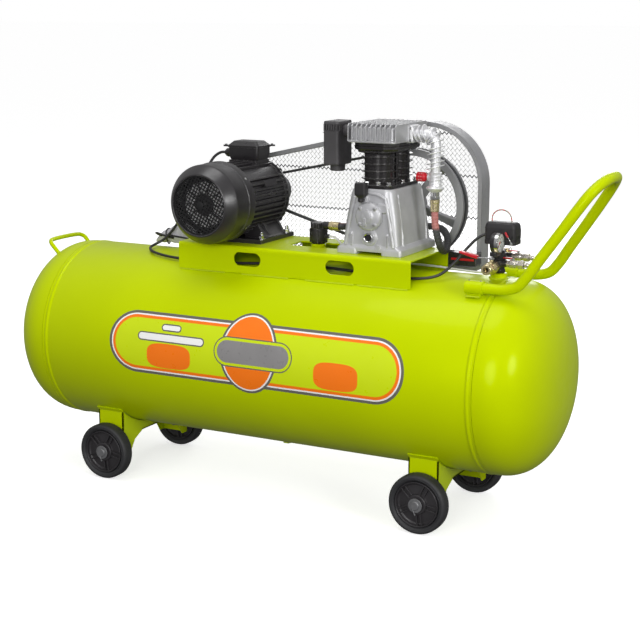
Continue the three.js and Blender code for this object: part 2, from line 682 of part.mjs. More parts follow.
// Cast aftercooler elbow: a ribbed pipe out of the head that turns down.
function dischargeElbow() {
  const [y, z] = [PUMP.y, 594];
  const x0 = PUMP.x + 72.4;
  const pipe = tubeAlong([
    [x0, y, z], [x0 + 20, y, z], [RISER_X - 22, y, z], [RISER_X - 7, y, z - 6], [RISER_X, y, z - 22],
    [RISER_X, y, z - 60], [RISER_X, y, z - 110], [RISER_X, y, 446],
  ], 15, 12, 8);
  const across = [x0 + 4, x0 + 16, x0 + 28].map((x) => rod('x', 24, x, x + 4, [0, y, z], 8));
  const down = [456, 508, 526, 544, 562].map((at) => rod('z', 25, at, at + 4, [RISER_X, y, 0], 8));
  const spur = rod('x', 10, RISER_X - 20, RISER_X, [0, y, RELIEF_Z], 8);
  const tip = rod('z', 11, 430, 448, [RISER_X, y, 0], 6);
  const bore = rod('z', 8, 425, 500, [RISER_X, y, 0], 10);
  return geometryOf(cut(join(pipe, ...across, ...down, spur, tip), bore));
}

const HOSE_ROUTE = [
  [RISER_X, PUMP.y, 429.7], [RISER_X, PUMP.y, 405], [RISER_X + 2, 22, 365], [RISER_X + 8, 26, 330],
  [RISER_X + 12, 37, 304], [RISER_X + 12, 58, 294], [RISER_X + 9, 82, 298], [RISER_X, 108, 316],
  [RISER_X - 22, 134, 334], [370, 146, 340], [325, 148, 341], [280, 148, 341], [238, 148, 341],
  [208, 145, 341], [190, 130, 341.5], [183, 105, 342], [180, 75, 343], [177, 45, 344], [171, 20, 345],
  [162, 5, 345.7], [153, 0, 346], [147, 0, 346], [141.4, 0, 346],
];

function checkValve() {
  const [x, y] = [95, 0];
  const body = turned([
    [0, 297.3], [17, 297.3], [19, 300], [23, 303], [24, 340], [21, 350], [14, 354], [0, 354],
  ], 'z', [x, y, 0], 12);
  const inlet = rod('x', 11, 0, 34, [x, y, 346], 8);
  const nut = rod('x', 13, 34, 46, [x, y, 346], 6);
  const unloader = rod('x', 6, 0, 32, [x, y, 318], 8);
  const bore = rod('x', 6, 30, 60, [x, y, 346], 6);
  return geometryOf(cut(join(body, inlet, nut, unloader), bore));
}

const UNLOADER_ROUTE = [
  [127.3, 0, 318], [142, 0, 317], [156, 2, 306], [162, 8, 290], [165, 18, 274], [180, 40, 262],
  [220, 66, 256], [300, 84, 249], [400, 92, 246], [450, 100, 241], [520, 96, 240], [560, 78, 248],
  [578, 60, 268], [588, 54, 298], [592, 48, 326], [594, 40, 342], [594, 33, 346], [594, 26.4, 346],
];

part('discharge_elbow', dischargeElbow(), CAST);
part('relief_valve', geometryOf(join(
  rod('x', 8, RISER_X - 28, RISER_X - 20.3, [0, PUMP.y, RELIEF_Z], 6),
  turned([[0, -50], [10, -50], [12.5, -46], [12.5, -28], [10, -25.6], [0, -25.6]], 'x',
    [RISER_X, PUMP.y, RELIEF_Z], 14))), RED);
part('discharge_hose', tubeAlong(HOSE_ROUTE, 9.5, 32, 8), RUBBER);
part('check_valve', checkValve(), BLACK_PAINT);
part('unloader_tube', tubeAlong(UNLOADER_ROUTE, 3, 32, 8), WHITE);

// ------------------------------------------------------------------ control group
const VALVE_AXIS = CONTROL.z + 19;

function manifold() {
  const { x, z } = CONTROL;
  const body = turned([
    [0, z], [15, z], [17, z + 3], [17, z + 50], [11, z + 56], [9, z + 60], [9, z + 72], [0, z + 72],
  ], 'z', [x, 0, 0], 12);
  const arms = [
    rod('y', 12, -30, 0, [x, 0, VALVE_AXIS], 8),
    rod('y', 10, 0, 30, [x, 0, z + 44], 8),
    rod('x', 9, 0, 28, [x, 18, z + 40], 8),
    rod('x', 9, 0, 28, [x, -18, z + 27], 8),
    rod('y', 7, -24, 0, [x, 0, z + 53], 8),
  ];
  const shoulders = [
    block(x - 2, x + 15, -28, 0, z + 18, z + 36),
    block(x - 2, x + 15, 0, 28, z + 31, z + 49),
  ];
  return geometryOf(join(body, ...arms, ...shoulders));
}

function switchBase() {
  const base = slabZ(roundRect(612, 0, 82, 44, 6), 334.3, 346, 2);
  const socket = ring('z', 9.4, 14, 326, 335, [CONTROL.x, 0, 0], 12);
  const insert = block(582, 642, -14, 14, 345, 364);
  const port = rod('y', 6, 14, 26, [594, 0, 346], 8);
  return geometryOf(join(base, socket, insert, port));
}

function switchCover() {
  const [cx, w, d] = [612, 82, 44];
  const shell = join(
    slabZ(roundRect(cx, 0, w, d, 8), 346.3, 382, 2),
    slabZ(roundRect(cx, 0, w - 6, d - 6, 8), 380, 390, 2));
  const hollow = block(cx - w / 2 + 4, cx + w / 2 - 4, -d / 2 + 4, d / 2 - 4, 340, 384);
  const leadHole = rod('x', 6, cx - w / 2 - 10, cx - w / 2 + 10, [0, -2, 356], 10);
  const portNotch = block(584, 604, 14, 30, 340, 356);
  return geometryOf(cut(shell, hollow, leadHole, portNotch));
}

part('manifold', manifold(), BLACK_PAINT);
part('switch_base', switchBase(), BLACK_PLASTIC);
part('switch_cover', switchCover(), BLACK_PLASTIC);
const LEVER_PIVOT = [644, -24.5, 340];
part('switch_lever', geometryOf(join(
  rod('y', 3.5, -27, -22.3, [LEVER_PIVOT[0], 0, LEVER_PIVOT[2]], 10),
  tubeAlong([[644, -25, 340], [639.5, -26, 349], [634.5, -27, 357]], 1.4, 3, 6),
  tubeAlong([[635.5, -26.8, 355.5], [632, -27.4, 361.5], [629, -28, 368]], 2.6, 3, 8))), RED);
part('wire_loop', tubeAlong([
  [586, -8, 390.4], [586, -8, 398], [589, -8, 408], [598, -8, 416.5], [611, -8, 420], [624, -8, 417],
  [633, -8, 409], [637, -8, 399], [638, -8, 390.4],
], 1.6, 14, 6), RED);

const GAUGE_AT = [0, -50, 344];
part('gauge_case', geometryOf(cut(join(
  rod('x', 25.5, 605, 627, GAUGE_AT, 16),
  rod('z', 5, 312, 330, [612, -50, 0], 8),
  block(599, 618, -56, -24.3, 309, 321)),
rod('x', 22.5, 622, 640, GAUGE_AT, 16))), BLACK_PLASTIC);
// The needle rests at the start of its scale, down and to the left of the dial.
part('gauge_needle', geometryOf(join(
  rod('x', 2.2, 622.4, 625.5, GAUGE_AT, 8),
  block(623.5, 624.7, -1, 1, -6, 18).rotateX(0.75 * Math.PI).translate(...GAUGE_AT))), RED);

function ballValve() {
  const at = [CONTROL.x, 0, VALVE_AXIS];
  const body = turned([
    [7, -88], [13, -88], [13, -76], [15, -74], [15, -62], [17, -58], [17, -46], [14, -42], [14, -30.3],
    [7, -30.3], [7, -88],
  ], 'y', at, 10);
  const stem = rod('z', 5, VALVE_AXIS + 12, VALVE_AXIS + 21, [CONTROL.x, -52, 0], 10);
  return geometryOf(join(body, stem));
}
part('ball_valve', ballValve(), BRASS);
part('ball_valve_lever', geometryOf(join(
  rod('z', 8, VALVE_AXIS + 21.3, VALVE_AXIS + 27, [CONTROL.x, -52, 0], 10),
  block(CONTROL.x - 46, CONTROL.x, -56, -48, VALVE_AXIS + 22, VALVE_AXIS + 24.5),
  slabY(outline([
    [CONTROL.x - 36, VALVE_AXIS + 20], [CONTROL.x - 36, VALVE_AXIS + 29], [CONTROL.x - 84, VALVE_AXIS + 37],
    [CONTROL.x - 84, VALVE_AXIS + 31],
  ]), -59, -45))), RED);

function outletValve(y, z) {
  const x = CONTROL.x + 28.3;
  return turned([
    [3, 0], [8, 0], [8, 6], [10, 8], [10, 22], [8, 24], [8, 30], [11, 31], [11, 44], [6.5, 46], [6.5, 52],
    [4.5, 62], [3, 62], [3, 0],
  ], 'x', [x, y, z], 8);
}
function outletLever(y, z) {
  const x = CONTROL.x + 28.3 + 15;
  return geometryOf(join(
    rod('z', 4, z + 10.3, z + 15, [x, y, 0], 8),
    block(x - 26, x + 3, y - 4, y + 4, z + 13, z + 16)));
}
const OUTLETS = { front: [-18, CONTROL.z + 27], rear: [18, CONTROL.z + 40] };
Object.entries(OUTLETS).forEach(([name, [y, z]]) => {
  part(`outlet_valve_${name}`, outletValve(y, z), BRASS);
  part(`outlet_lever_${name}`, outletLever(y, z), RED);
});

const RELIEF_AXIS = CONTROL.z + 44;
part('safety_valve', turned([
  [0, 30.3], [9, 30.3], [9, 38], [11, 40], [11, 54], [8, 58], [3, 58], [3, 50], [0, 50],
], 'y', [CONTROL.x, 0, RELIEF_AXIS], 8), BRASS);
part('safety_ring', geometryOf(join(
  rod('y', 1.5, 51, 66, [CONTROL.x, 0, RELIEF_AXIS], 8),
  ring('x', 7, 9.5, -1.2, 1.2, [CONTROL.x, 74, RELIEF_AXIS], 12))), STEEL);

// ------------------------------------------------------------------ motor lead
// From the terminal box, down beside the motor, through the deck and up to the pressure switch.
const LEAD_ROUTE = [
  [-213.4, 40, 520], [-228, 40, 519], [-246, 36, 508], [-268, 28, 474], [-300, 16, 412], [-332, 6, 352],
  [-362, 0, 304], [-392, -8, 272], [-412, -22, 259], [-412, -42, 254], [-396, -62, 249], [-360, -78, 244.5],
  [-310, -88, 241], [-250, -92, 239.5], [-120, -90, 241], [20, -70, 247], [180, -70, 247], [320, -80, 244],
  [420, -84, 244], [470, -70, 254], [502, -46, 283], [526, -26, 318], [548, -12, 344], [563, -4, 354],
  [570.4, -2, 356],
];
part('motor_lead', tubeAlong(LEAD_ROUTE, 3.75, 64, 8), RUBBER);

// ------------------------------------------------------------------ packet tied behind the motor
function packet() {
  const shape = new THREE.Shape();
  shape.moveTo(-436, 256);
  shape.bezierCurveTo(-436, 296, -400, 308, -340, 312);
  shape.lineTo(-300, 312);
  shape.lineTo(-300, 256);
  return slabY(shape, 14, 44, 6);
}
part('packet', packet(), WHITE);

// ------------------------------------------------------------------ origin: bottom centre of the assembly
const bounds = new THREE.Box3().setFromObject(compressor);
const centre = bounds.getCenter(new THREE.Vector3());
compressor.position.set(-centre.x, -centre.y, -bounds.min.z);

export default compressor;
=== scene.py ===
"""Looks of the belt-driven air compressor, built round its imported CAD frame.

Shapes are given in millimetres from the receiver's axis, X along it, -Y to the front and Z up, as
the CAD source lays them out; place() turns them into metres in the shared frame.
"""
import math
import random

import bmesh
import bpy
from mathutils import Matrix, Vector
from mathutils.geometry import tessellate_polygon


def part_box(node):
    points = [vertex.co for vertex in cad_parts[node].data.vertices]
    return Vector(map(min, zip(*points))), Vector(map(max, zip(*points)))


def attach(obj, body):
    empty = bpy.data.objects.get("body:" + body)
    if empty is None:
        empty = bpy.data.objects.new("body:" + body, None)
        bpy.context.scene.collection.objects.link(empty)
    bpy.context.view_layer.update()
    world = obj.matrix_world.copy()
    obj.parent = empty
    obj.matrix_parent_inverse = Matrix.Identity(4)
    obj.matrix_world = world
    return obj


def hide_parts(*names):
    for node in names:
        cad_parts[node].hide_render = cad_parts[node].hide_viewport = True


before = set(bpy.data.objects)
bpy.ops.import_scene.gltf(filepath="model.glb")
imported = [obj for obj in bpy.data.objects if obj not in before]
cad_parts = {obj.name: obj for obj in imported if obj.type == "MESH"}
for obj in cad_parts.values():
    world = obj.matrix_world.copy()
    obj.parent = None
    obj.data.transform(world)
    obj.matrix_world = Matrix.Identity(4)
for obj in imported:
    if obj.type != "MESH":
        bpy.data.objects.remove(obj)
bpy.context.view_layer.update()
random.seed(7)


MM = 0.001


def middle(node, axis):
    low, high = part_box(node)
    return (low[axis] + high[axis]) / 2


ORIGIN = Vector((middle("tank_barrel", 0), 0.0, middle("tank_end_left", 2)))


def place(point):
    return Vector(point) * MM + ORIGIN


# ---------------------------------------------------------------- camera
AZIMUTH = math.radians(28.24)
ELEVATION = math.radians(11.95)
camera_data = bpy.data.cameras.new("camera")
camera_data.lens = 83.8
camera_data.sensor_width = 36.0
camera = bpy.data.objects.new("camera", camera_data)
camera.location = place((1937.8, -3423.0, 912.9))
camera.rotation_euler = (math.pi / 2 - ELEVATION, 0.0, AZIMUTH)
bpy.context.scene.collection.objects.link(camera)
bpy.context.scene.camera = camera


# ---------------------------------------------------------------- materials
def linear(r, g, b):
    """Display colour, 0 to 255, as linear light."""
    return tuple((c / 255) ** 2.2 for c in (r, g, b))


class Nodes:
    """A material's node tree, with short calls for the nodes used here."""

    def __init__(self, name):
        self.material = bpy.data.materials.new(name)
        self.material.use_nodes = True
        self.tree = self.material.node_tree
        self.shader = self.tree.nodes["Principled BSDF"]

    def add(self, kind, **values):
        node = self.tree.nodes.new(kind)
        for key, value in values.items():
            if key in node.inputs:
                node.inputs[key].default_value = value
            else:
                setattr(node, key, value)
        return node

    def link(self, source, target):
        self.tree.links.new(source, target)

    def coords(self):
        return self.add("ShaderNodeTexCoord").outputs["Object"]

    def noise(self, scale, detail=3.0):
        node = self.add("ShaderNodeTexNoise", Scale=scale, Detail=detail, Roughness=0.55)
        self.link(self.coords(), node.inputs["Vector"])
        return node.outputs["Fac"]

    def spread(self, source, low, high, start=0.3, end=0.7):
        node = self.add("ShaderNodeMapRange")
        node.inputs["From Min"].default_value = start
        node.inputs["From Max"].default_value = end
        node.inputs["To Min"].default_value = low
        node.inputs["To Max"].default_value = high
        self.link(source, node.inputs["Value"])
        return node.outputs["Result"]

    def mix(self, factor, first, second):
        node = self.add("ShaderNodeMix", data_type="RGBA")
        self.link(factor, node.inputs["Factor"])
        for socket, value in ((node.inputs[6], first), (node.inputs[7], second)):
            if isinstance(value, bpy.types.NodeSocket):
                self.link(value, socket)
            else:
                socket.default_value = (*value, 1.0)
        return node.outputs[2]

    def bump(self, height, strength, distance):
        node = self.add("ShaderNodeBump", Strength=strength, Distance=distance)
        self.link(height, node.inputs["Height"])
        return node.outputs["Normal"]


def scaled(color, factor):
    return tuple(min(1.0, c * factor) for c in color)


def surface(name, color, rough=0.45, metal=0.0, vary=0.08, patch=14.0, rough_vary=0.08,
        grain=900.0, bump=0.15, depth=0.0002, coat=0.0, coat_rough=0.08, edge_wear_and_highlight=None, spec=0.5,
        tint=None):
    """Paint, plastic, rubber or metal: mottled colour, uneven gloss, fine grain, lightened edges
    that stand for rubbing and for a painted highlight.
    """
    n = Nodes(name)
    blotch = n.spread(n.noise(patch), 0.0, 1.0)
    tone = n.mix(blotch, scaled(color, 1 - vary), scaled(color, 1 + vary))
    fine = n.noise(grain, 2.0)
    tone = n.mix(n.spread(fine, 0.0, 0.35), tone, scaled(color, 1 - 1.5 * vary))
    # Edges lightened by the bevel normal: rubbed edges, and also a painted highlight along them.
    if edge_wear_and_highlight:
        edge_normal = n.add("ShaderNodeBevel", samples=4, Radius=edge_wear_and_highlight[1]).outputs["Normal"]
        geometry = n.add("ShaderNodeNewGeometry").outputs["Normal"]
        dot = n.add("ShaderNodeVectorMath", operation="DOT_PRODUCT")
        n.link(edge_normal, dot.inputs[0])
        n.link(geometry, dot.inputs[1])
        edge = n.spread(dot.outputs["Value"], 1.0, 0.0, 0.86, 0.995)
        broken = n.add("ShaderNodeMath", operation="MULTIPLY")
        n.link(edge, broken.inputs[0])
        n.link(n.spread(n.noise(120.0, 4.0), 0.1, 1.0, 0.35, 0.65), broken.inputs[1])
        tone = n.mix(broken.outputs[0], tone, edge_wear_and_highlight[0])
    n.link(tone, n.shader.inputs["Base Color"])
    n.link(n.spread(n.noise(patch * 5, 4.0), rough - rough_vary, rough + rough_vary),
        n.shader.inputs["Roughness"])
    n.shader.inputs["Metallic"].default_value = metal
    n.shader.inputs["Specular IOR Level"].default_value = spec
    if tint:
        n.shader.inputs["Specular Tint"].default_value = (*(min(1.0, c) for c in tint), 1.0)
    if coat:
        n.shader.inputs["Coat Weight"].default_value = coat
        n.shader.inputs["Coat Roughness"].default_value = coat_rough
    n.link(n.bump(fine, bump, depth), n.shader.inputs["Normal"])
    return n.material


def vinyl(name, color, rough, vary, patch):
    return surface(name, color, rough, vary=vary, patch=patch, grain=1200.0, bump=0.05)


LIME = linear(188, 208, 0)
M = {
    "lime": surface("lime_enamel", LIME, 0.36, vary=0.03, patch=5.0, rough_vary=0.05, grain=260.0,
        bump=0.06, depth=0.0004, coat=0.06, coat_rough=0.1, spec=0.35, tint=scaled(LIME, 1.35)),
    "weld": surface("lime_weld", scaled(LIME, 0.92), 0.45, grain=160.0, bump=0.5, depth=0.001),
    "black": surface("black_enamel", linear(40, 38, 40), 0.34, vary=0.12, patch=20.0, grain=500.0,
        bump=0.2, depth=0.0003, coat=0.25, coat_rough=0.25, edge_wear_and_highlight=(linear(116, 114, 114), 0.0012)),
    "cowl": surface("black_cowl", linear(44, 42, 44), 0.36, patch=12.0, grain=1400.0, bump=0.2,
        coat=0.3, coat_rough=0.22, edge_wear_and_highlight=(linear(128, 128, 130), 0.0012)),
    "plastic": surface("black_plastic", linear(42, 40, 42), 0.48, vary=0.10, grain=1600.0,
        bump=0.3),
    "filter": surface("filter_plastic", linear(74, 72, 74), 0.5, vary=0.07, grain=1500.0,
        bump=0.3),
    "rubber": surface("tyre_rubber", linear(48, 48, 50), 0.62, vary=0.16, patch=30.0, grain=700.0,
        bump=0.3, depth=0.0003),
    "rim": surface("rim_plastic", linear(50, 48, 50), 0.42, vary=0.10, grain=1300.0, bump=0.25),
    "belt": surface("belt_rubber", linear(66, 66, 68), 0.6, vary=0.18, patch=60.0, bump=0.4,
        depth=0.0003),
    "cable": surface("cable_sheath", linear(44, 43, 45), 0.4, vary=0.10, grain=600.0),
    "cast": surface("cast_alloy", linear(190, 190, 193), 0.40, 0.32, vary=0.07, patch=26.0,
        grain=420.0, bump=0.35, depth=0.0004, edge_wear_and_highlight=(linear(222, 222, 224), 0.0020)),
    "head": surface("cast_head", linear(182, 182, 184), 0.36, 0.45, patch=26.0, grain=420.0,
        bump=0.35, depth=0.0004, edge_wear_and_highlight=(linear(235, 235, 236), 0.0015)),
    "cooler": surface("bright_cast", linear(232, 232, 234), 0.36, 0.4, vary=0.04, patch=40.0,
        grain=350.0, bump=0.08, depth=0.0003),
    # The fin edges of this dark casting are lightened as a painted highlight.
    "finned": surface("black_cylinder", linear(50, 48, 49), 0.22, 0.3, vary=0.12, patch=40.0,
        grain=420.0, bump=0.2, depth=0.0004, edge_wear_and_highlight=(linear(138, 136, 134), 0.0012)),
    "steel": surface("zinc_steel", linear(176, 176, 176), 0.32, 0.85, vary=0.10, patch=60.0),
    "dull": surface("dull_steel", linear(128, 128, 130), 0.45, 0.6, vary=0.12, patch=60.0),
    "chrome": surface("chrome", linear(214, 214, 214), 0.14, 1.0, vary=0.04, rough_vary=0.04),
    "grey": surface("grey_powder_coat", linear(148, 148, 151), 0.42, 0.15, vary=0.06, bump=0.3,
        edge_wear_and_highlight=(linear(176, 176, 178), 0.0015)),
    "iron": surface("grey_iron", linear(126, 126, 129), 0.42, 0.4, vary=0.10, patch=30.0,
        grain=420.0, bump=0.35, depth=0.0004),
    # One galvanised wire in three colours: near-white painted light for the upper rows, grey
    # painted shade for the lower rows, dark painted shade for the heavy rows.
    "wire": surface("galvanised_wire_painted_light", linear(250, 250, 250), 0.5, 0.0, vary=0.02, patch=80.0,
        bump=0.02),
    "wire_painted_shade": surface("galvanised_painted_shade", linear(214, 214, 214), 0.5, 0.0, vary=0.2,
        patch=160.0, bump=0.02),
    "wire_heavy_painted_shade": surface("pressed_heavy_rows_painted_shade", linear(64, 64, 66), 0.5, 0.1, vary=0.3, patch=160.0),
    "grille": surface("grille_enamel", linear(26, 26, 27), 0.5, vary=0.15, patch=40.0),
    "brass": surface("brass", linear(222, 206, 164), 0.26, 0.9, vary=0.10, patch=80.0),
    "nickel": surface("nickel_plate", linear(212, 206, 196), 0.24, 0.8, patch=80.0),
    "red": surface("red_vinyl", linear(196, 22, 40), 0.34, grain=700.0, bump=0.2, coat=0.3),
    "white": surface("white_tube", linear(226, 226, 222), 0.4, vary=0.05, grain=700.0),
    "fan": surface("fan_plastic", linear(252, 250, 248), 0.5),
    # Dark colour: printed gauge marks and numerals, and painted shade on the thin plates that
    # stand for the switch cover's slots.
    "dark": surface("dark_print_and_slot_shade", linear(24, 24, 24), 0.7, vary=0.1),
    "glass_dark": surface("oil_window", linear(34, 34, 36), 0.12, vary=0.15, coat=0.6),
    "dial": surface("dial_face", linear(236, 236, 232), 0.5, vary=0.03, patch=20.0, grain=1200.0),
    "v_grey": vinyl("vinyl_grey", linear(104, 102, 96), 0.34, 0.04, 9.0),
    "v_white": vinyl("vinyl_white", linear(246, 246, 244), 0.34, 0.02, 9.0),
    "v_orange": vinyl("vinyl_orange", linear(255, 122, 20), 0.34, 0.04, 9.0),
    "v_lime": vinyl("vinyl_lime", linear(205, 226, 0), 0.34, 0.02, 9.0),
    "v_plate": vinyl("vinyl_plate", linear(138, 136, 136), 0.32, 0.08, 12.0),
}


# ---------------------------------------------------------------- geometry: (points in mm, faces)
def join(*parts):
    points, faces = [], []
    for part_points, part_faces in parts:
        base = len(points)
        points += part_points
        faces += [tuple(i + base for i in face) for face in part_faces]
    return points, faces


def moved(geometry, x=0.0, y=0.0, z=0.0):
    return [(px + x, py + y, pz + z) for px, py, pz in geometry[0]], geometry[1]


def spun(geometry, axis, degrees, about=(0, 0, 0)):
    turn = Matrix.Rotation(math.radians(degrees), 3, axis.upper())
    pivot = Vector(about)
    return [tuple(turn @ (Vector(p) - pivot) + pivot) for p in geometry[0]], geometry[1]


def along(axis, u, v, t):
    """The point at t along an axis and (u, v) across it."""
    return {"x": (t, u, v), "y": (u, t, v), "z": (u, v, t)}[axis]


def lathe(profile, axis, at=(0, 0, 0), sides=48, phase=0.0):
    """Turns (radius, distance) points about an axis; the profile closes on it or on itself."""
    rows = profile[:-1] if profile[0] == profile[-1] else profile
    closed = len(rows) < len(profile)
    points, index = [], []
    for radius, t in rows:
        count = 1 if radius < 1e-6 else sides
        index.append([len(points) + (k if count > 1 else 0) for k in range(sides)])
        for k in range(count):
            a = 2 * math.pi * (k + phase) / sides
            points.append(along(axis, radius * math.cos(a), radius * math.sin(a), t))
    faces = []
    pairs = list(zip(range(len(rows)), range(1, len(rows)))) + ([(len(rows) - 1, 0)] if closed
        else [])
    for i, j in pairs:
        for k in range(sides):
            m = (k + 1) % sides
            loop = [index[i][k], index[i][m], index[j][m], index[j][k]]
            loop = [p for n, p in enumerate(loop) if p not in loop[:n]]
            if len(loop) > 2:
                faces.append(tuple(loop))
    return moved((points, faces), *at)


def rod(axis, radius, start, end, at=(0, 0, 0), sides=32, chamfer=0.0):
    c = chamfer
    return lathe([(0, start), (radius - c, start), (radius, start + c), (radius, end - c),
        (radius - c, end), (0, end)], axis, at, sides)


def ring(axis, inner, outer, start, end, at=(0, 0, 0), sides=48):
    return lathe([(inner, start), (outer, start), (outer, end), (inner, end), (inner, start)],
        axis, at, sides)


def torus(axis, radius, thick, at, sides=48, around=10):
    loop = [(radius + thick * math.cos(2 * math.pi * k / around),
        thick * math.sin(2 * math.pi * k / around)) for k in range(around)]
    return lathe(loop + loop[:1], axis, at, sides)


def prism(outer, start, end, axis="y", holes=()):
    """A flat outline, with holes, given depth along an axis."""
    loops = [list(outer)] + [list(hole) for hole in holes]
    flat = [p for loop in loops for p in loop]
    count = len(flat)
    caps = tessellate_polygon([[Vector((u, v, 0.0)) for u, v in loop] for loop in loops])
    points = [along(axis, u, v, t) for t in (start, end) for u, v in flat]
    faces = [tuple(cap) for cap in caps] + [tuple(i + count for i in reversed(cap))
        for cap in caps]
    base = 0
    for loop in loops:
        for k in range(len(loop)):
            a, b = base + k, base + (k + 1) % len(loop)
            faces.append((a, b, b + count, a + count))
        base += len(loop)
    return points, faces


def box(x0, x1, y0, y1, z0, z1):
    return prism([(x0, y0), (x1, y0), (x1, y1), (x0, y1)], z0, z1, "z")


def circle(u, v, radius, count=32, start=0.0, end=360.0):
    steps = count if end - start >= 360 else count + 1
    return [(u + radius * math.cos(math.radians(start + (end - start) * k / count)),
        v + radius * math.sin(math.radians(start + (end - start) * k / count)))
        for k in range(steps)]


def rounded(u, v, width, height, radius, count=6):
    w, h = width / 2 - radius, height / 2 - radius
    corners = ((w, -h, -90), (w, h, 0), (-w, h, 90), (-w, -h, 180))
    return [p for cu, cv, start in corners for p in circle(u + cu, v + cv, radius, count, start,
        start + 90)]


def chamfered(u, v, width, height, cut):
    w, h = width / 2, height / 2
    return [(u + a, v + b) for a, b in ((-w + cut, -h), (w - cut, -h), (w, -h + cut),
        (w, h - cut), (w - cut, h), (-w + cut, h), (-w, h - cut), (-w, -h + cut))]


def loft(rings):
    """Skins a stack of point rings of equal length and closes both ends."""
    size = len(rings[0])
    points = [p for row in rings for p in row]
    faces = [tuple(range(size)), tuple(range(len(points) - size, len(points)))]
    for i in range(len(rings) - 1):
        for k in range(size):
            a, b = i * size + k, i * size + (k + 1) % size
            faces.append((a, b, b + size, a + size))
    return points, faces


def tray(x, y, sizes, r=6.0):
    """Stacked rounded rectangles, each (width, depth, z) or (width, depth, z, corner radius)."""
    return loft([[(px, py, z) for px, py in rounded(x, y, w, d, *(own or [r]))]
        for w, d, z, *own in sizes])


def tab(x, z, width, height, radius, rows):
    """A boss that stands out along Y; rows give (y, share of the full size)."""
    return loft([[(px, y, pz) for px, pz in rounded(x, z, width * w, height * w, radius)]
        for y, w in rows])


def about(count, radius, start=0.0):
    """(cos, sin) offsets of places spaced evenly on a circle."""
    angles = [math.radians(start + 360 * k / count) for k in range(count)]
    return [(radius * math.cos(a), radius * math.sin(a)) for a in angles]


def curve_points(route, per_span=8):
    """A centripetal Catmull-Rom curve through the route, the curve that the CAD's cords follow."""
    knots = [Vector(p) for p in route]
    knots = [knots[0] * 2 - knots[1]] + knots + [knots[-1] * 2 - knots[-2]]
    found = []
    for i in range(1, len(knots) - 2):
        p0, p1, p2, p3 = knots[i - 1:i + 3]
        t1 = max((p1 - p0).length ** 0.5, 1e-4)
        t2 = t1 + max((p2 - p1).length ** 0.5, 1e-4)
        t3 = t2 + max((p3 - p2).length ** 0.5, 1e-4)
        for k in range(per_span):
            t = t1 + (t2 - t1) * k / per_span
            a1 = p0.lerp(p1, t / t1)
            a2 = p1.lerp(p2, (t - t1) / (t2 - t1))
            a3 = p2.lerp(p3, (t - t2) / (t3 - t2))
            b1 = a1.lerp(a2, t / t2)
            b2 = a2.lerp(a3, (t - t1) / (t3 - t1))
            found.append(b1.lerp(b2, (t - t1) / (t2 - t1)))
    return found + [knots[-2]]


def sweep(path, radius, sides=16):
    """A round bar along points. radius is a number or a function of the share of length done."""
    path = [Vector(p) for p in path]
    lengths = [0.0]
    for a, b in zip(path, path[1:]):
        lengths.append(lengths[-1] + (b - a).length)
    tangent = (path[1] - path[0]).normalized()
    side = tangent.orthogonal().normalized()
    rings = []
    for i, point in enumerate(path):
        ahead = path[min(i + 1, len(path) - 1)] - path[max(i - 1, 0)]
        side = (side - ahead.normalized() * side.dot(ahead.normalized())).normalized()
        other = ahead.normalized().cross(side)
        share = lengths[i] / lengths[-1]
        r = radius(share) if callable(radius) else radius
        rings.append([tuple(point + side * r * math.cos(2 * math.pi * k / sides)
            + other * r * math.sin(2 * math.pi * k / sides)) for k in range(sides)])
    return loft(rings)


def tube(route, radius, sides):
    return sweep(curve_points(route), radius, sides)


def bolt(axis, at, across, height=None, washer=True, way=1):
    """A chamfered hexagon head on a washer, standing out along way from the point at."""
    height = height or across * 0.62
    r = across / math.sqrt(3)
    base = 1.6 * way if washer else 0.0
    top = base + height * way
    head = lathe([(0, base), (r, base), (r, top - 0.18 * height * way), (r * 0.86, top),
        (0, top)], axis, at, 6, random.random())
    return join(head, ring(axis, r * 0.5, r * 1.35, 0.0, 1.6 * way, at, 24)) if washer else head


def piece(name, geometry, look, stands_for=(), body="frame", bevel=0.0, segments=2, sharp=32.0):
    mesh = bpy.data.meshes.new(name)
    mesh.from_pydata([place(p) for p in geometry[0]], [], geometry[1])
    shape = bmesh.new()
    shape.from_mesh(mesh)
    bmesh.ops.remove_doubles(shape, verts=shape.verts, dist=1e-6)
    bmesh.ops.recalc_face_normals(shape, faces=shape.faces)
    shape.to_mesh(mesh)
    shape.free()
    mesh.shade_smooth()
    mesh.set_sharp_from_angle(angle=math.radians(sharp))
    mesh.materials.append(M[look] if isinstance(look, str) else look)
    obj = bpy.data.objects.new(name, mesh)
    bpy.context.scene.collection.objects.link(obj)
    if bevel:
        edge = obj.modifiers.new("edge", "BEVEL")
        edge.width = bevel * MM
        edge.segments = segments
        edge.limit_method = "ANGLE"
        edge.angle_limit = math.radians(sharp)
        edge.use_clamp_overlap = True
        even = obj.modifiers.new("even", "WEIGHTED_NORMAL")
        even.keep_sharp = True
    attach(obj, body)
    if stands_for:
        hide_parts(*([stands_for] if isinstance(stands_for, str) else stands_for))
    return obj


def clear(name, tint, rough, alpha, crease=0.0):
    """Thin clear plastic or glass: a plain see-through share that the eye reads as film."""
    n = Nodes(name)
    shade = n.add("ShaderNodeTexNoise", Scale=70.0, Detail=4.0)
    n.link(n.coords(), shade.inputs["Vector"])
    n.link(n.mix(shade.outputs["Fac"], scaled(tint, 0.82), tint), n.shader.inputs["Base Color"])
    n.link(n.spread(shade.outputs["Fac"], rough, rough + 0.15), n.shader.inputs["Roughness"])
    n.shader.inputs["Alpha"].default_value = alpha
    if crease:
        n.link(n.bump(shade.outputs["Fac"], crease, 0.003), n.shader.inputs["Normal"])
    return n.material


M["glass"] = clear("gauge_window", linear(236, 240, 242), 0.3, 0.12)
M["film"] = clear("bag_film", linear(198, 197, 200), 0.2, 0.96, 0.8)

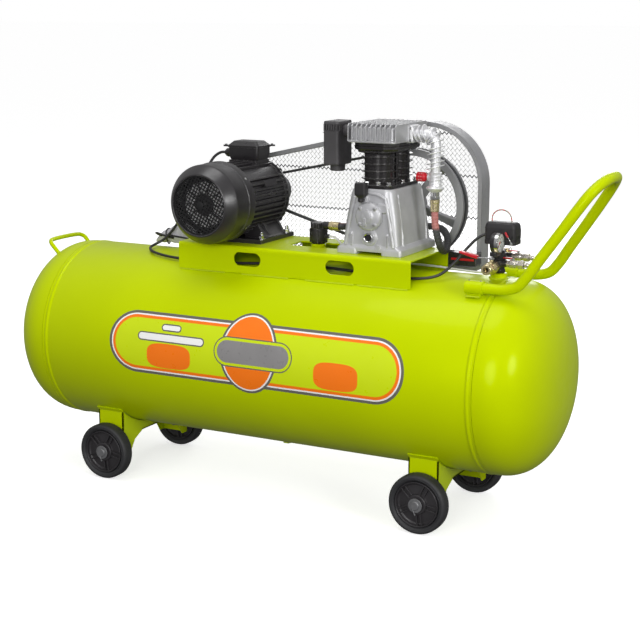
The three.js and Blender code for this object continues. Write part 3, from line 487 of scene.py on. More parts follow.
# ---------------------------------------------------------------- cords, held at both ends
RISER_X, RISER_Y = 418, 22
RISER = (RISER_X, RISER_Y, 0)
HOSE = [(RISER_X, 22, 429.7), (RISER_X, 22, 405), (RISER_X + 2, 22, 365), (RISER_X + 8, 26, 330),
    (RISER_X + 12, 37, 304), (RISER_X + 12, 58, 294), (RISER_X + 9, 82, 298), (RISER_X, 108, 316),
    (RISER_X - 22, 134, 334), (370, 146, 340), (325, 148, 341), (280, 148, 341), (238, 148, 341),
    (208, 145, 341), (190, 130, 341.5), (183, 105, 342), (180, 75, 343), (177, 45, 344),
    (171, 20, 345), (162, 5, 345.7), (153, 0, 346), (147, 0, 346), (141.4, 0, 346),]
UNLOADER = [(127.3, 0, 318), (142, 0, 317), (156, 2, 306), (162, 8, 290), (165, 18, 274),
    (180, 40, 262), (220, 66, 256), (300, 84, 249), (400, 92, 246), (450, 100, 241),
    (520, 96, 240), (560, 78, 248), (578, 60, 268), (588, 54, 298), (592, 48, 326),
    (594, 40, 342), (594, 33, 346), (594, 26.4, 346),]
LEAD = [(-213.4, 40, 520), (-228, 40, 519), (-246, 36, 508), (-268, 28, 474), (-300, 16, 412),
    (-332, 6, 352), (-362, 0, 304), (-392, -8, 272), (-412, -22, 259), (-412, -42, 254),
    (-396, -62, 249), (-360, -78, 244.5), (-310, -88, 241), (-250, -92, 239.5), (-120, -90, 241),
    (20, -70, 247), (180, -70, 247), (320, -80, 244), (420, -84, 244), (470, -70, 254),
    (502, -46, 283), (526, -26, 318), (548, -12, 344), (563, -4, 354), (570.4, -2, 356),]


def hose_look():
    """Braided steel with a red stripe on its straight drop, dark corrugated sleeve beyond it."""
    n = Nodes("braided_hose")
    split = n.add("ShaderNodeSeparateXYZ")
    n.link(n.coords(), split.inputs[0])
    weave = n.add("ShaderNodeTexWave", wave_type="BANDS", bands_direction="DIAGONAL", Scale=170.0,
        Distortion=1.2, Detail=1.0)
    n.link(n.coords(), weave.inputs["Vector"])
    strands = n.spread(weave.outputs["Fac"], 0.0, 1.0, 0.25, 0.75)
    dark = n.mix(strands, linear(30, 30, 32), linear(84, 84, 86))
    red = n.mix(strands, linear(150, 70, 70), linear(214, 150, 146))
    height = split.outputs["Z"]
    drop = n.spread(height, 0.0, 1.0, place((0, 0, 352)).z, place((0, 0, 360)).z)
    n.link(n.mix(drop, dark, red), n.shader.inputs["Base Color"])
    n.shader.inputs["Roughness"].default_value = 0.42
    n.link(n.bump(weave.outputs["Fac"], 0.7, 0.0006), n.shader.inputs["Normal"])
    return n.material


def cord(name, route, radius, look, stands_for, ridges=None):
    path = curve_points(route)
    thick = radius
    if ridges:
        fine = []
        for a, b in zip(path, path[1:]):
            steps = max(1, int((b - a).length / 1.3))
            fine += [a.lerp(b, k / steps) for k in range(steps)]
        path = fine + [path[-1]]
        count = len(path)

        def thick(share):
            return radius - ridges * (0.5 + 0.5 * math.cos(share * count * 1.15))
    obj = piece(name, sweep(path, thick, 18), look, stands_for, "frame", sharp=60)
    return obj


cord("delivery_hose", HOSE, 9.5, hose_look(), "discharge_hose", ridges=0.9)
cord("unloader_line", UNLOADER, 3.0, "white", "unloader_tube")
cord("motor_cable", LEAD, 3.75, "cable", "motor_lead")

# ---------------------------------------------------------------- receiver
CHECK_X, KX = 95, 604
SHELL = 248.6
HALF = 650.0
DISH = 140.0


def dish(radius, depth, steps=28):
    """(radius, depth) points from the rim of a dished end to its middle."""
    points = []
    for i in range(steps + 1):
        a = math.pi / 2 * i / steps
        points.append((0.0 if i == steps else radius * math.cos(a) ** (2 / 2.4),
            depth * math.sin(a) ** (2 / 2.4)))
    return points


def seam(x):
    """A raised closing weld with a small step on each side of it."""
    return [(SHELL, x - 9), (SHELL - 0.9, x - 6), (SHELL - 0.4, x - 4), (SHELL + 1.3, x - 2),
        (SHELL + 1.4, x), (SHELL + 1.1, x + 2), (SHELL - 0.4, x + 4), (SHELL - 0.9, x + 6),
        (SHELL, x + 9)]


barrel = lathe([(SHELL - 5, -HALF + 12), (SHELL, -HALF + 12), *seam(-HALF + 24), (SHELL, -300),
    (SHELL, 0), (SHELL, 300), *seam(HALF - 24), (SHELL, HALF - 12), (SHELL - 5, HALF - 12),
    (SHELL - 5, -HALF + 12)], "x", sides=160)
sockets = join(rod("z", 19.5, 240, 297, (CHECK_X, 0, 0), 40, 2),
    rod("z", 21, 240, 261.7, (KX, 0, 0), 40, 2), rod("z", 15, -262, -244, (0, 0, 0), 6, 1))
piece("receiver_barrel", join(barrel, sockets), "lime", "tank_barrel")
for side, name in ((-1, "left"), (1, "right")):
    outer = [(r, side * (HALF - 11 + d * (DISH + 11.3) / DISH)) for r, d in dish(SHELL, DISH)]
    piece(f"receiver_end_{name}", lathe([*outer[::-1], (SHELL - 6, side * (HALF - 11)),
        (0, side * (HALF - 11))], "x", sides=160), "lime", f"tank_end_{name}")


def on_shell(x, arc, lift=0.0):
    """The point at a length along the receiver and an arc length up its front from the middle."""
    a = arc / SHELL
    return (x, -(SHELL + lift) * math.cos(a), (SHELL + lift) * math.sin(a))


def bead(path, radius=2.4):
    """A weld bead: a wobbling round bar."""
    return sweep(path, lambda s: radius * (1 + 0.12 * math.sin(s * 160)
        + 0.06 * math.sin(s * 71)), 8)


def foot_ring(cx, radius):
    loop = []
    for k in range(37):
        a = 2 * math.pi * k / 36
        y = radius * math.sin(a)
        loop.append((cx + radius * math.cos(a), y, math.sqrt(SHELL ** 2 - y * y) + 0.6))
    return bead(loop, 2.6)


piece("socket_welds", join(foot_ring(CHECK_X, 20.5), foot_ring(KX, 22)), "weld")


# Vinyl label: closed films on the front of the barrel, each a little further out than the last.
def film(name, shape, layer, look):
    """shape gives (low x, high x) at a share of the height between two arc lengths."""
    bottom, top, span = shape
    rows = 40
    points, faces = [], []
    for i in range(rows + 1):
        share = 0.5 - 0.5 * math.cos(math.pi * i / rows)
        arc = bottom + (top - bottom) * share
        low, high = span(arc)
        for lift in (0.1 * layer - 0.25, 0.1 * layer + 0.1):
            points += [on_shell(low, arc, lift), on_shell(high, arc, lift)]
    for i in range(rows):
        a, b = 4 * i, 4 * i + 4
        faces += [(a, a + 1, b + 1, b), (a + 2, b + 2, b + 3, a + 3), (a, b, b + 2, a + 2),
            (a + 1, a + 3, b + 3, b + 1)]
    faces += [(0, 2, 3, 1), (4 * rows, 4 * rows + 1, 4 * rows + 3, 4 * rows + 2)]
    return piece(name, (points, faces), look, sharp=30)


def pill(x0, x1, middle_arc, half):
    """Round-ended bar whose straight part runs from x0 to x1."""
    def span(arc):
        reach = math.sqrt(max(half ** 2 - (arc - middle_arc) ** 2, 0.0))
        return x0 - reach - 0.01, x1 + reach + 0.01
    return middle_arc - half, middle_arc + half, span


def cushion(cx, middle_arc, half_width, half_height, power):
    """A rounded block between a circle, power 2, and a rectangle."""
    def span(arc):
        share = min(abs(arc - middle_arc) / half_height, 1.0)
        reach = half_width * (1 - share ** power) ** (1 / power)
        return cx - reach - 0.01, cx + reach + 0.01
    return middle_arc - half_height, middle_arc + half_height, span


LABEL_MIDDLE = 36.5
for layer, (half, look) in enumerate(((84.5, "v_grey"), (77, "v_white"), (73, "v_orange"),
        (65, "v_lime"))):
    film(f"label_band_{layer}", pill(-326, 377, LABEL_MIDDLE, half), layer, look)
film("label_block_left", cushion(-221, 6, 68, 33, 3.4), 4, "v_orange")
film("label_block_right", cushion(275, 9, 62, 35, 3.4), 4, "v_orange")
for name, x0, x1, arc, half in (("short", -238, -196, 82, 10), ("long", -308, -124, 54, 12)):
    film(f"label_bar_{name}_edge", pill(x0, x1, arc, half), 4, "v_grey")
    film(f"label_bar_{name}", pill(x0, x1, arc, half - 3.5), 5, "v_white")
for layer, (grow, look) in enumerate(((9, "v_grey"), (3, "v_white"), (-1, "v_orange"))):
    film(f"label_medallion_{layer}", cushion(22, 41, 76 + grow, 97 + grow, 2.0), 4 + layer, look)
for layer, (grow, look) in enumerate(((7, "v_grey"), (4, "v_lime"), (-3, "v_plate"))):
    film(f"label_nameplate_{layer}", pill(-42, 112, 40, 32 + grow), 7 + layer, look)

# ---------------------------------------------------------------- deck
DECK_X = (-268, 416)
DECK_TOP = 292.5
flanges = [prism([(DECK_X[0], 221.2), (DECK_X[1], 221.2), (DECK_X[1], 283.5), (DECK_X[0], 283.5)],
    min(a, b), max(a, b), "y", [rounded(x, 259, 82, 36, 17.9, 10) for x in (-55, 218)])
    for a, b in ((-118, -114), (114, 118))]
bends = []
for way in (-1, 1):
    arc = circle(way * 109, 283.5, 9, 8, 90 if way < 0 else 0, 180 if way < 0 else 90)
    back = circle(way * 109, 283.5, 5, 8, 90 if way < 0 else 0, 180 if way < 0 else 90)[::-1]
    bends.append(prism(arc + back, *DECK_X, "x"))
deck_sheet = prism([(DECK_X[0], -109), (DECK_X[1], -109), (DECK_X[1], 109), (DECK_X[0], 109)],
    DECK_TOP - 4, DECK_TOP, "z", [rounded(CHECK_X, 6, 146, 78, 12)])
piece("deck_plate", join(*flanges, *bends, deck_sheet), "lime", "deck", bevel=0.5)
deck_beads = [bead([(x0 + 20 * k, way * 119.5, 219.3) for k in range(8)]) for way in (-1, 1)
    for x0 in (-262, -70, 120, 270)]
piece("deck_welds", join(*deck_beads), "weld")

# ---------------------------------------------------------------- saddles, axles and wheels
AXLE_Z = -304.5
SADDLE_X, WHEEL_Y = 478, 185


def saddle(cx):
    arc = [(y, -math.sqrt(250.4 ** 2 - y * y)) for y in range(156, -157, -6)]
    side = [(-160, -195.5), (-160, -332), (-136, -332), (-104, -286), (-66, -268), (66, -268),
        (104, -286), (136, -332), (160, -332), (160, -195.5), *arc]
    cheeks = [prism(side, cx + a, cx + b, "x") for a, b in ((-41, -37), (37, 41))]
    faces = [box(cx - 41, cx + 41, a, b, -332, -193) for a, b in ((-160, -156), (156, 160))]
    lips = [spun(box(cx - 41, cx + 41, way * 160 - 1.5, way * 160 + 1.5, -196, -184), "x",
        way * -38, (cx, way * 160, -194)) for way in (-1, 1)]
    return join(*cheeks, *faces, *lips, box(cx - 41, cx + 41, -70, 70, -268, -264))


def axle(cx, way):
    def span(a, b, r, chamfer=0.0, sides=40):
        return rod("y", r, min(way * a, way * b), max(way * a, way * b), (cx, 0, AXLE_Z), sides,
            chamfer)
    clip = sweep([(cx - 5, way * 211, AXLE_Z - 9), (cx - 1, way * 211.3, AXLE_Z - 17),
        (cx + 1.5, way * 211.3, AXLE_Z - 25), (cx + 4.5, way * 211, AXLE_Z - 21)], 1.1, 8)
    return join(span(148, 212.6, 11.6, 1.6), span(159, 164.2, 20), span(205.8, 208.4, 18.5, 0.5),
        clip)


def wheel(cx, way, name):
    y, node = way * WHEEL_Y, f"wheel_{name}"
    tyre = [(58, -10), (60.5, -12), (62, -16.5), (66, -18.6), (67, -17.8), (68.5, -18.8),
        (72.5, -18.2), (75.3, -16), (77.0, -12), (77.4, -5), (77.4, 5), (77.0, 12), (75.3, 16),
        (72.5, 18.2), (68.5, 18.8), (67, 17.8), (66, 18.6), (62, 16.5), (60.5, 12), (58, 10),
        (58, -10)]
    rim = [(13, -16), (24, -16), (25.5, -14.5), (26, -7), (50, -5.5), (54, -8), (55, -15),
        (58.6, -16), (58.6, 16), (55, 15), (54, 8), (50, 5.5), (26, 7), (25.5, 14.5), (24, 16),
        (13, 16), (13, -16)]
    ribs = []
    for k in range(5):
        for lean in (-7, 7):
            blade = moved(box(24, 56, -12.5, 12.5, -1.5, 1.5), 0, 0, lean * 0.85)
            ribs.append(moved(spun(blade, "y", 72 * k + 10), cx, y, AXLE_Z))
    bosses = [torus("y", 57.0, 1.4, (cx, y + s * 15.6, AXLE_Z), 64, 8) for s in (-1, 1)]
    piece(f"tyre_{name}", lathe(tyre, "y", (cx, y, AXLE_Z), 96), "rubber", node, node, sharp=50)
    piece(f"rim_{name}", join(lathe(rim, "y", (cx, y, AXLE_Z), 96), *ribs, *bosses), "rim", node,
        node, bevel=0.5)


for side, name in ((-1, "left"), (1, "right")):
    piece(f"saddle_frame_{name}", saddle(side * SADDLE_X), "lime", f"saddle_{name}", bevel=0.6)
    piece(f"saddle_axles_{name}", join(axle(side * SADDLE_X, -1), axle(side * SADDLE_X, 1)),
        "dull", bevel=0.3)
    seams = [bead([(side * SADDLE_X + x, way * 158, -196.5) for x in range(-40, 41, 8)], 2.2)
        for way in (-1, 1)]
    piece(f"saddle_welds_{name}", join(*seams), "weld")
    for way, end in ((-1, "front"), (1, "rear")):
        wheel(side * SADDLE_X, way, f"{end}_{name}")

# ---------------------------------------------------------------- handles
HANDLE_Y = 118
PULL = [(576, -118, 242), (620, -118, 242), (664, -118, 243), (695, -117, 252), (718, -115, 276),
    (748, -110, 320), (796, -102, 389), (836, -94, 448), (858, -84, 480), (874, -62, 501),
    (884, -28, 512)]
PULL += [(x, -y, z) for x, y, z in reversed(PULL)]
pull = sweep(curve_points(PULL, 7), 13.4, 28)
sleeves = [ring("x", 13, 17, 566, 612, (0, way * HANDLE_Y, 242), 32) for way in (-1, 1)]
pads = [spun(box(572, 606, way * HANDLE_Y - 12, way * HANDLE_Y + 12, 222, 232), "x", way * -26,
    (0, way * HANDLE_Y, 232)) for way in (-1, 1)]
piece("pull_handle", join(pull, *sleeves, *pads), "lime", "handle_right", bevel=0.5)
piece("handle_screws", join(*[rod("z", 2.6, 257, 260.2, (x, way * HANDLE_Y, 0), 20, 0.6)
    for way in (-1, 1) for x in (574, 604)]), "dull", bevel=0.2)
LIFT = [(-700, -77, 214), (-716, -77, 231), (-730, -77, 246), (-738, -68, 252), (-741, -50, 254)]
LIFT = LIFT + [(x, -y, z) for x, y, z in reversed(LIFT)]
piece("lift_handle", sweep(curve_points(LIFT, 8), 5.9, 20), "lime", "handle_left")
piece("handle_welds", join(*[bead([(-697 + 7 * math.cos(a), way * 77 + 8 * math.sin(a),
    217 - 6 * math.cos(a)) for a in [k * math.pi / 8 for k in range(17)]], 2) for way in (-1, 1)],
    *[bead([(570 + 6 * k, way * 131, 221.5) for k in range(7)], 2.4) for way in (-1, 1)]), "weld")

# ---------------------------------------------------------------- motor
MX, MZ = -148, 404.5
MOTOR_AXIS = (MX, 0, MZ)


def fins(count, root, tip, skip=()):
    """A toothed outline round the motor's axis; the spans of degrees in skip are plain."""
    points = []
    for i in range(count):
        for share, radius in ((-0.30, root), (-0.14, tip), (0.14, tip), (0.30, root)):
            a = 360 * (i + share) / count
            plain = any(low <= a <= high for low, high in skip)
            r = root + 3.5 if plain else radius
            points.append((MX + r * math.cos(math.radians(a)), MZ + r * math.sin(math.radians(a))))
    return points


def polar(angle, radius):
    return MX + radius * math.cos(math.radians(angle)), MZ + radius * math.sin(math.radians(angle))


ribbed = prism(fins(40, 91, 99, [(38, 58)]), -93, 95, "y", [circle(MX, MZ, 80, 48)])
collar = ring("y", 80, 96.5, 84, 95, MOTOR_AXIS, 72)
pads = [prism([polar(a - 3, 92), polar(a - 3, 98), polar(a + 3, 98), polar(a + 3, 92)], y - 5,
    y + 5, "y") for a, y in ((9, 4), (9, 40))]
plate = prism([polar(20, 99.6), polar(31, 99.6), polar(31, 100.4), polar(20, 100.4)], -18, 46, "y")
foot = box(MX - 105, MX + 105, -66, 113, 292.8, 303.8)
cheeks = [prism([(MX + s * 34, 303), (MX + s * 96, 303), (MX + s * 80, 330), (MX + s * 66, 352),
    (MX + s * 34, 352)][::s], y, y + 9, "y") for s in (-1, 1) for y in (-30, 0, 74)]
ramps = [loft([[(MX + s * x, y, z) for x, z in ((52, 304), (98, 304), (92, 308), (60, 345))]
    for y in (-22, 82)]) for s in (-1, 1)]
saddle_top = box(MX - 42, MX + 42, 18, 88, 480, 502.6)
piece("motor_body", join(ribbed, collar, foot, *cheeks, *ramps, saddle_top), "black",
    "motor_frame", bevel=0.5)
piece("motor_marks", join(*pads, plate), "plastic", bevel=0.3)
bell = [(0, 131), (20, 131), (36, 130.5), (44, 122), (86, 113), (97, 104), (99.3, 99),
    (99.3, 95.3), (0, 95.3)]
lugs = [rod("y", 7, 95.3, 108, (MX + u, 0, MZ + v), 20, 1) for u, v in about(4, 93, 45)]
bell_ribs = [moved(spun(prism([(40, 122), (92, 110), (92, 114), (40, 128)], -2, 2, "z"), "y",
    45 * k), MX, 0, MZ) for k in range(8)]
piece("motor_bell", join(lathe(bell, "y", MOTOR_AXIS, 72), *lugs, *bell_ribs), "black",
    "motor_end_shield", bevel=0.4)
piece("bell_screws", join(*[bolt("y", (MX + u, 108, MZ + v), 8, 5, False)
    for u, v in about(4, 93, 45)]), "steel", bevel=0.2)
piece("motor_core", ring("y", 50, 79, -70, 70, MOTOR_AXIS, 64), "dull", "motor_stator", bevel=0.5)
piece("rotor_core", lathe([(0, -168), (10.8, -168), (10.8, -150), (18.8, -150), (18.8, -66),
    (49, -66), (49, 66), (19, 66), (19, 132), (13.8, 132), (13.8, 205), (0, 205)], "y",
    MOTOR_AXIS, 48), "steel", "motor_rotor", "rotor", bevel=0.3)
blades = [moved(spun(box(24, 84, -178, -154, -1.2, 1.2), "y", 36 * k), MX, 0, MZ)
    for k in range(10)]
fan_hub = lathe([(11, -179), (24, -179), (27, -176), (27, -154), (84, -153.6), (84, -152.4),
    (11, -152.4), (11, -179)], "y", MOTOR_AXIS, 64)
fan_face = lathe([(30, -176.5), (60, -171.5), (61, -170), (60, -160), (29, -160), (30, -176.5)],
    "y", MOTOR_AXIS, 64)
piece("motor_fan_face", fan_face, "fan", body="rotor", bevel=0.3)
piece("motor_fan", join(fan_hub, *blades), "plastic", "cooling_fan", "rotor", bevel=0.3)

cowl = lathe([(104, -92), (106, -92), (106, -118.5), (105.4, -120.5), (104.4, -121.5),
    (104.2, -172), (103.6, -175), (102, -178), (83, -203), (81, -204.8), (79.2, -205),
    (77.8, -204), (77.6, -199), (78.4, -197), (80.4, -198.6), (99, -176), (101.6, -170),
    (102, -124), (104, -118), (104, -92)], "y", MOTOR_AXIS, 96)
cowl_lip = torus("y", 105.0, 0.9, (MX, -119.5, MZ), 96, 8)
mesh_disc = []
for k in range(-9, 10):
    reach = math.sqrt(max(77 ** 2 - (8.5 * k) ** 2, 16))
    mesh_disc += [box(-reach, reach, -197.6, -196.4, 8.5 * k - 1.75, 8.5 * k + 1.75),
        box(8.5 * k - 1.75, 8.5 * k + 1.75, -197.9, -196.7, -reach, reach)]
mesh_disc = moved(spun(join(*mesh_disc), "y", 28), MX, 0, MZ)
grille_rings = [ring("y", 74, 80.5, -198.4, -196.2, MOTOR_AXIS, 64)]
grille_hub = lathe([(0, -198.3), (9, -198.3), (11, -197.4), (11, -196.2), (0, -196.2)], "y",
    MOTOR_AXIS, 40)
piece("fan_cowl", join(cowl, cowl_lip), "cowl", "fan_cover", sharp=40)
piece("fan_grille", join(mesh_disc, *grille_rings, grille_hub), "grille", bevel=0.15, segments=1)
piece("cowl_screws", join(*[spun(moved(join(rod("x", 3.6, 104.6, 106.6, (0, 0, 0), 20, 0.8)), MX,
    -104, MZ), "y", a, MOTOR_AXIS) for a in (-38, 38, 142, 218)]), "steel", bevel=0.2)
piece("motor_bolts", join(*[join(bolt("z", (MX + s * 95, y, 303.8), 13),
    rod("z", 4.6, 313, 322, (MX + s * 95, y, 0), 20, 1)) for s in (-1, 1) for y in (-45, 92)]),
    "chrome", bevel=0.3)

# Terminal box, its lid with two screw ears, and the cable gland
TERMINAL = (-146.5, 53)
box_body = tray(*TERMINAL, ((84, 62, 503), (90, 67, 510), (93, 70, 519), (93, 70, 536)), 7)
piece("terminal_housing", box_body, "black", "terminal_box", bevel=0.5)
lid_body = tray(*TERMINAL, ((97, 74, 536.3), (97, 74, 542), (90, 66, 544.5), (74, 50, 552.5),
    (72, 48, 553)), 7)
ears = [spun(prism(rounded(x, y, 20, 11, 5.4), 538, 542, "z"), "z", a, (x, y, 0))
    for x, y, a in ((-198, 21, 0), (-95, 85, 0))]
piece("terminal_lid", join(lid_body, *ears), "black", "terminal_box_lid", bevel=0.6)
piece("lid_screws", join(*[rod("z", 3.6, 542, 545, (x, y, 0), 20, 0.8)
    for x, y in ((-200, 21), (-94, 85))]), "dull", bevel=0.2)
piece("cable_gland", join(lathe([(4, -20), (7, -20), (9, -17), (11, -15), (11, -10), (4, -10),
    (4, -20)], "x", (-193, 40, 520), 32), lathe([(4, -10), (13, -10), (13, -0.5), (4, -0.5),
    (4, -10)], "x", (-193, 40, 520), 6)), "plastic", "terminal_gland", bevel=0.4)

# ---------------------------------------------------------------- belt drive
PX, PZ = 283.5, 391
SHAFT = (PX, 0, PZ)
BELT_Y = 188
MOTOR_PULLEY, FLYWHEEL = 45, 150


def pulley(radius, inner, hub):
    a, b = BELT_Y - 19, BELT_Y + 19
    return lathe([(inner, a), (radius, a), (radius, BELT_Y - 7.5), (radius - 11, BELT_Y - 4),
        (radius - 11, BELT_Y + 4), (radius, BELT_Y + 7.5), (radius, b), (inner, b), (inner, a)],
        "y", hub, 96)


piece("small_pulley", pulley(MOTOR_PULLEY, 14.3, MOTOR_AXIS), "iron", "motor_pulley", "rotor",
    bevel=0.6)
spokes = []
for k in range(5):
    arm = loft([[(x, BELT_Y + y * w, z * w) for y, z in rounded(0, 0, 9, 26, 4)]
        for x, w in ((28, 1.15), (80, 1.0), (134, 1.25))])
    arm = spun(arm, "x", 28, (0, BELT_Y, 0))
    spokes.append(moved(spun(arm, "y", 72 * k + 20), PX, 0, PZ))
wheel_rim = pulley(FLYWHEEL, 131, SHAFT)
hub = lathe([(16.5, 167), (30, 167), (33, 172), (33, 204), (30, 208.6), (16.5, 208.6),
    (16.5, 167)], "y", SHAFT, 48)
piece("fan_flywheel", join(wheel_rim, hub, *spokes), "grey", "flywheel", "crank", bevel=0.8)
piece("crank", join(lathe([(0, -84), (15.8, -84), (15.8, -54), (21.8, -54), (21.8, 104),
    (15.8, 104), (15.8, 205), (14, 206), (0, 206)], "y", SHAFT, 40),
    *[prism(rounded(PX, PZ - s * 14, 52, 76, 18), y, y + 12, "y")
    for y, s in ((-52, 1), (-10, 1), (52, -1), (94, -1))],
    *[rod("y", 17, a, b, (PX, 0, PZ + s * 22), 32) for a, b, s in ((-42, -8, 1), (62, 96, -1))]),
    "steel", "crankshaft", "crank", bevel=0.5)
piece("flywheel_bolt", bolt("y", (PX, 206.2, PZ), 22, 6), "steel", body="crank", bevel=0.4)


def belt_loop(offset, steps=40):
    """Points of an open belt round both wheels, at one distance from their rims."""
    dx, dz = PX - MX, PZ - MZ
    lean = math.asin((FLYWHEEL - MOTOR_PULLEY) / math.hypot(dx, dz))
    top = math.degrees(math.atan2(dz, dx) + math.pi / 2 + lean)
    bottom = math.degrees(math.atan2(dz, dx) - math.pi / 2 - lean)
    return (circle(MX, MZ, MOTOR_PULLEY + offset, steps, top, bottom + 360)
        + circle(PX, PZ, FLYWHEEL + offset, steps * 2, bottom, top))


belt_rows = [[(x, y, z) for x, z in belt_loop(offset)] for offset, y in ((0.6, BELT_Y - 4.6),
    (0.6, BELT_Y + 4.6), (-6.5, BELT_Y + 3.4), (-6.5, BELT_Y - 3.4))]
belt_points = [p for row in belt_rows for p in row]
n = len(belt_rows[0])
belt_faces = [(i * n + k, i * n + (k + 1) % n, (i + 1) % 4 * n + (k + 1) % n, (i + 1) % 4 * n + k)
    for i in range(4) for k in range(n)]
piece("drive_belt", (belt_points, belt_faces), "belt", "v_belt", sharp=40, bevel=0.4)

# ---------------------------------------------------------------- belt guard
GX0, GX1, GZ0 = -262, 489, 226
BIG, SMALL = (329, 454, 160), (-162, 404.5, 100)


def guard_outline(inset, fine=14):
    dx, dz = BIG[0] - SMALL[0], BIG[1] - SMALL[1]
    top = math.degrees(math.atan2(dz, dx) + math.pi / 2
        + math.asin((BIG[2] - SMALL[2]) / math.hypot(dx, dz)))
    corner = 24 - inset
    return (circle(GX1 - inset - corner, GZ0 + inset + corner, corner, fine, -90, 0)
        + circle(BIG[0], BIG[1], BIG[2] - inset, fine * 3, 0, top)
        + circle(SMALL[0], SMALL[1], SMALL[2] - inset, fine * 2, top, 180)
        + circle(GX0 + inset + corner, GZ0 + inset + corner, corner, fine, 180, 270))


def inside(point, outline):
    x, z = point
    hit = False
    for (x1, z1), (x2, z2) in zip(outline, outline[1:] + outline[:1]):
        if (z1 > z) != (z2 > z) and x < (x2 - x1) * (z - z1) / (z2 - z1) + x1:
            hit = not hit
    return hit


def mesh_panel(y):
    """Expanded metal: flat rows of open diamonds, every sixteenth row pressed heavier; rows are
    kept apart for lit and painted-shade copies of one wire colour.
    """
    edge = guard_outline(5, 6)
    upper, lower, heavy = ([], []), ([], []), ([], [])
    step_x, step_z = 6.2, 6.9
    for row in range(57):
        z0 = GZ0 + row * step_z
        strong = row % 16 == 3
        points, faces = heavy if strong else lower if row % 2 else upper
        half = 1.3 if strong else 0.5 if row % 2 else 0.32
        tilt = -0.5 if row % 2 else 0.5
        for col in range(int((GX1 - GX0) / step_x)):
            x0 = GX0 + col * step_x
            rise = (row + col) % 2 == 0
            ends = ((x0, z0), (x0 + step_x, z0 + step_z)) if rise else ((x0, z0 + step_z),
                (x0 + step_x, z0))
            if not all(inside(e, edge) for e in ends):
                continue
            (ax, az), (bx, bz) = ends
            ux, uz = bx - ax, bz - az
            size = math.hypot(ux, uz)
            ox, oz = -uz / size * half, ux / size * half
            base = len(points)
            for px, pz in ((ax, az), (bx, bz)):
                points += [(px + ox, y + tilt, pz + oz), (px - ox, y - tilt, pz - oz),
                    (px - ox, y - tilt + 0.5, pz - oz), (px + ox, y + tilt + 0.5, pz + oz)]
            faces += [(base, base + 1, base + 2, base + 3),
                (base + 4, base + 7, base + 6, base + 5)]
            faces += [(base + k, base + (k + 1) % 4, base + 4 + (k + 1) % 4, base + 4 + k)
                for k in range(4)]
    return upper, lower, heavy


def guard_half(y0, y1, name, lip_y, inward):
    """A sheet-steel rim with a rolled edge and a flange; inward is the way into the guard."""
    outer, inner = guard_outline(0.3), guard_outline(2.3)
    rim_points = [(x, y, z) for y in (y0, y1) for loop in (outer, inner) for x, z in loop]
    n = len(outer)
    rows = (0, 1, 3, 2)
    rim_faces = [(rows[i] * n + k, rows[i] * n + (k + 1) % n, rows[(i + 1) % 4] * n + (k + 1) % n,
        rows[(i + 1) % 4] * n + k) for i in range(4) for k in range(n)]
    band = prism(outer, min(lip_y, lip_y + inward * 1.6), max(lip_y, lip_y + inward * 1.6), "y",
        [guard_outline(11.0)])
    rolled = [(x, lip_y + inward * 3.0, z) for x, z in guard_outline(3.0)]
    turned_in = [(x, lip_y + inward * 2.4, z) for x, z in guard_outline(10.6)]
    piece(f"{name}_rim", join((rim_points, rim_faces), band, sweep(rolled + rolled[:1], 2.7, 10),
        sweep(turned_in + turned_in[:1], 2.0, 8)), "grey", name, sharp=35)


guard_half(161, 187.8, "guard_front", 161.2, 1)
guard_half(188.2, 215, "guard_rear", 214.8, -1)
# Upper rows take the painted-light wire colour; lower and heavy rows take the painted-shade
# colours.
for label, rows, look in zip(("upper", "lower", "heavy"), mesh_panel(213.0),
        ("wire", "wire_painted_shade", "wire_heavy_painted_shade")):
    piece(f"guard_mesh_{label}", rows, look, sharp=30)
rail_body = join(box(300, 492, 118.6, 160.4, 249, 252.5), box(300, 492, 118.6, 122.4, 249, 281),
    box(300, 492, 156.8, 160.4, 249, 281), box(488.5, 492, 118.6, 160.4, 249, 281),
    box(300, 492, 118.6, 160.4, 277.5, 281))
piece("guard_bracket", rail_body, "black", "guard_rail", bevel=0.8)
piece("bracket_stripe", box(424, 488, 117.9, 118.7, 262, 268), "red", bevel=0.2)

# ---------------------------------------------------------------- pump
CX, CY = PX, 22
GLASS_Z, FILLER_X = 337, 265
CYLINDERS = (-24, 68)


housing = tray(CX, CY + 2, ((160, 208, 300, 16), (158, 207, 316, 16), (146, 204, 372, 18),
    (128, 200, 430, 22), (121, 198, 448, 24), (118, 196, 455, 24), (113, 190, 459, 24)))
skirt = tray(CX, CY + 2, ((162, 210, 300.4, 14), (176, 214, 301, 12), (180, 215, 308, 11),
    (176, 213, 311, 12), (160, 207, 317, 16)))
feet = [tray(CX + s * 62.5, 23, ((55.5, 214.5, 292.8), (57, 216, 294), (57, 216, 304),
    (54, 213, 308.6)), 7) for s in (-1, 1)]
left_edge = [(CX - 67, -80, 316), (CX - 59, -79, 360), (CX - 49, -77, 410), (CX - 42, -75.5, 438)]
right_edge = [(2 * CX - x, y, z) for x, y, z in left_edge]
front_edges = [tube(e, 5.2, 12) for e in (left_edge, right_edge)]
brow = tube([(CX - 42, -75.5, 436), (CX - 20, -75, 446), (CX + 20, -75, 446),
    (CX + 42, -75.5, 436)], 4.2, 12)
front_low = [tab(CX + s * 50, 330, 7, 36, 3, ((-78, 1.1), (-83.6, 0.8))) for s in (-1, 1)]
side_ribs = [tube([(CX + s * 78.5, y, 314), (CX + s * 73, y + 3, 350), (CX + s * 65, y + 4, 400),
    (CX + s * 59, y + 5, 444)], 4.6, 12) for s in (-1, 1) for y in (-46, 98)]
boss = lathe([(0, -86), (24, -86), (27, -83.5), (28, -78), (0, -78)], "y", SHAFT, 48)
filler_boss = lathe([(0, -82), (12, -82), (15, -80), (16, -70), (0, -70)], "y",
    (FILLER_X, 0, 434), 32)
glass_boss = lathe([(13.6, -82.6), (19, -82.6), (22, -80), (23, -76), (13.6, -76), (13.6, -82.6)],
    "y", (CX, 0, GLASS_Z), 40)
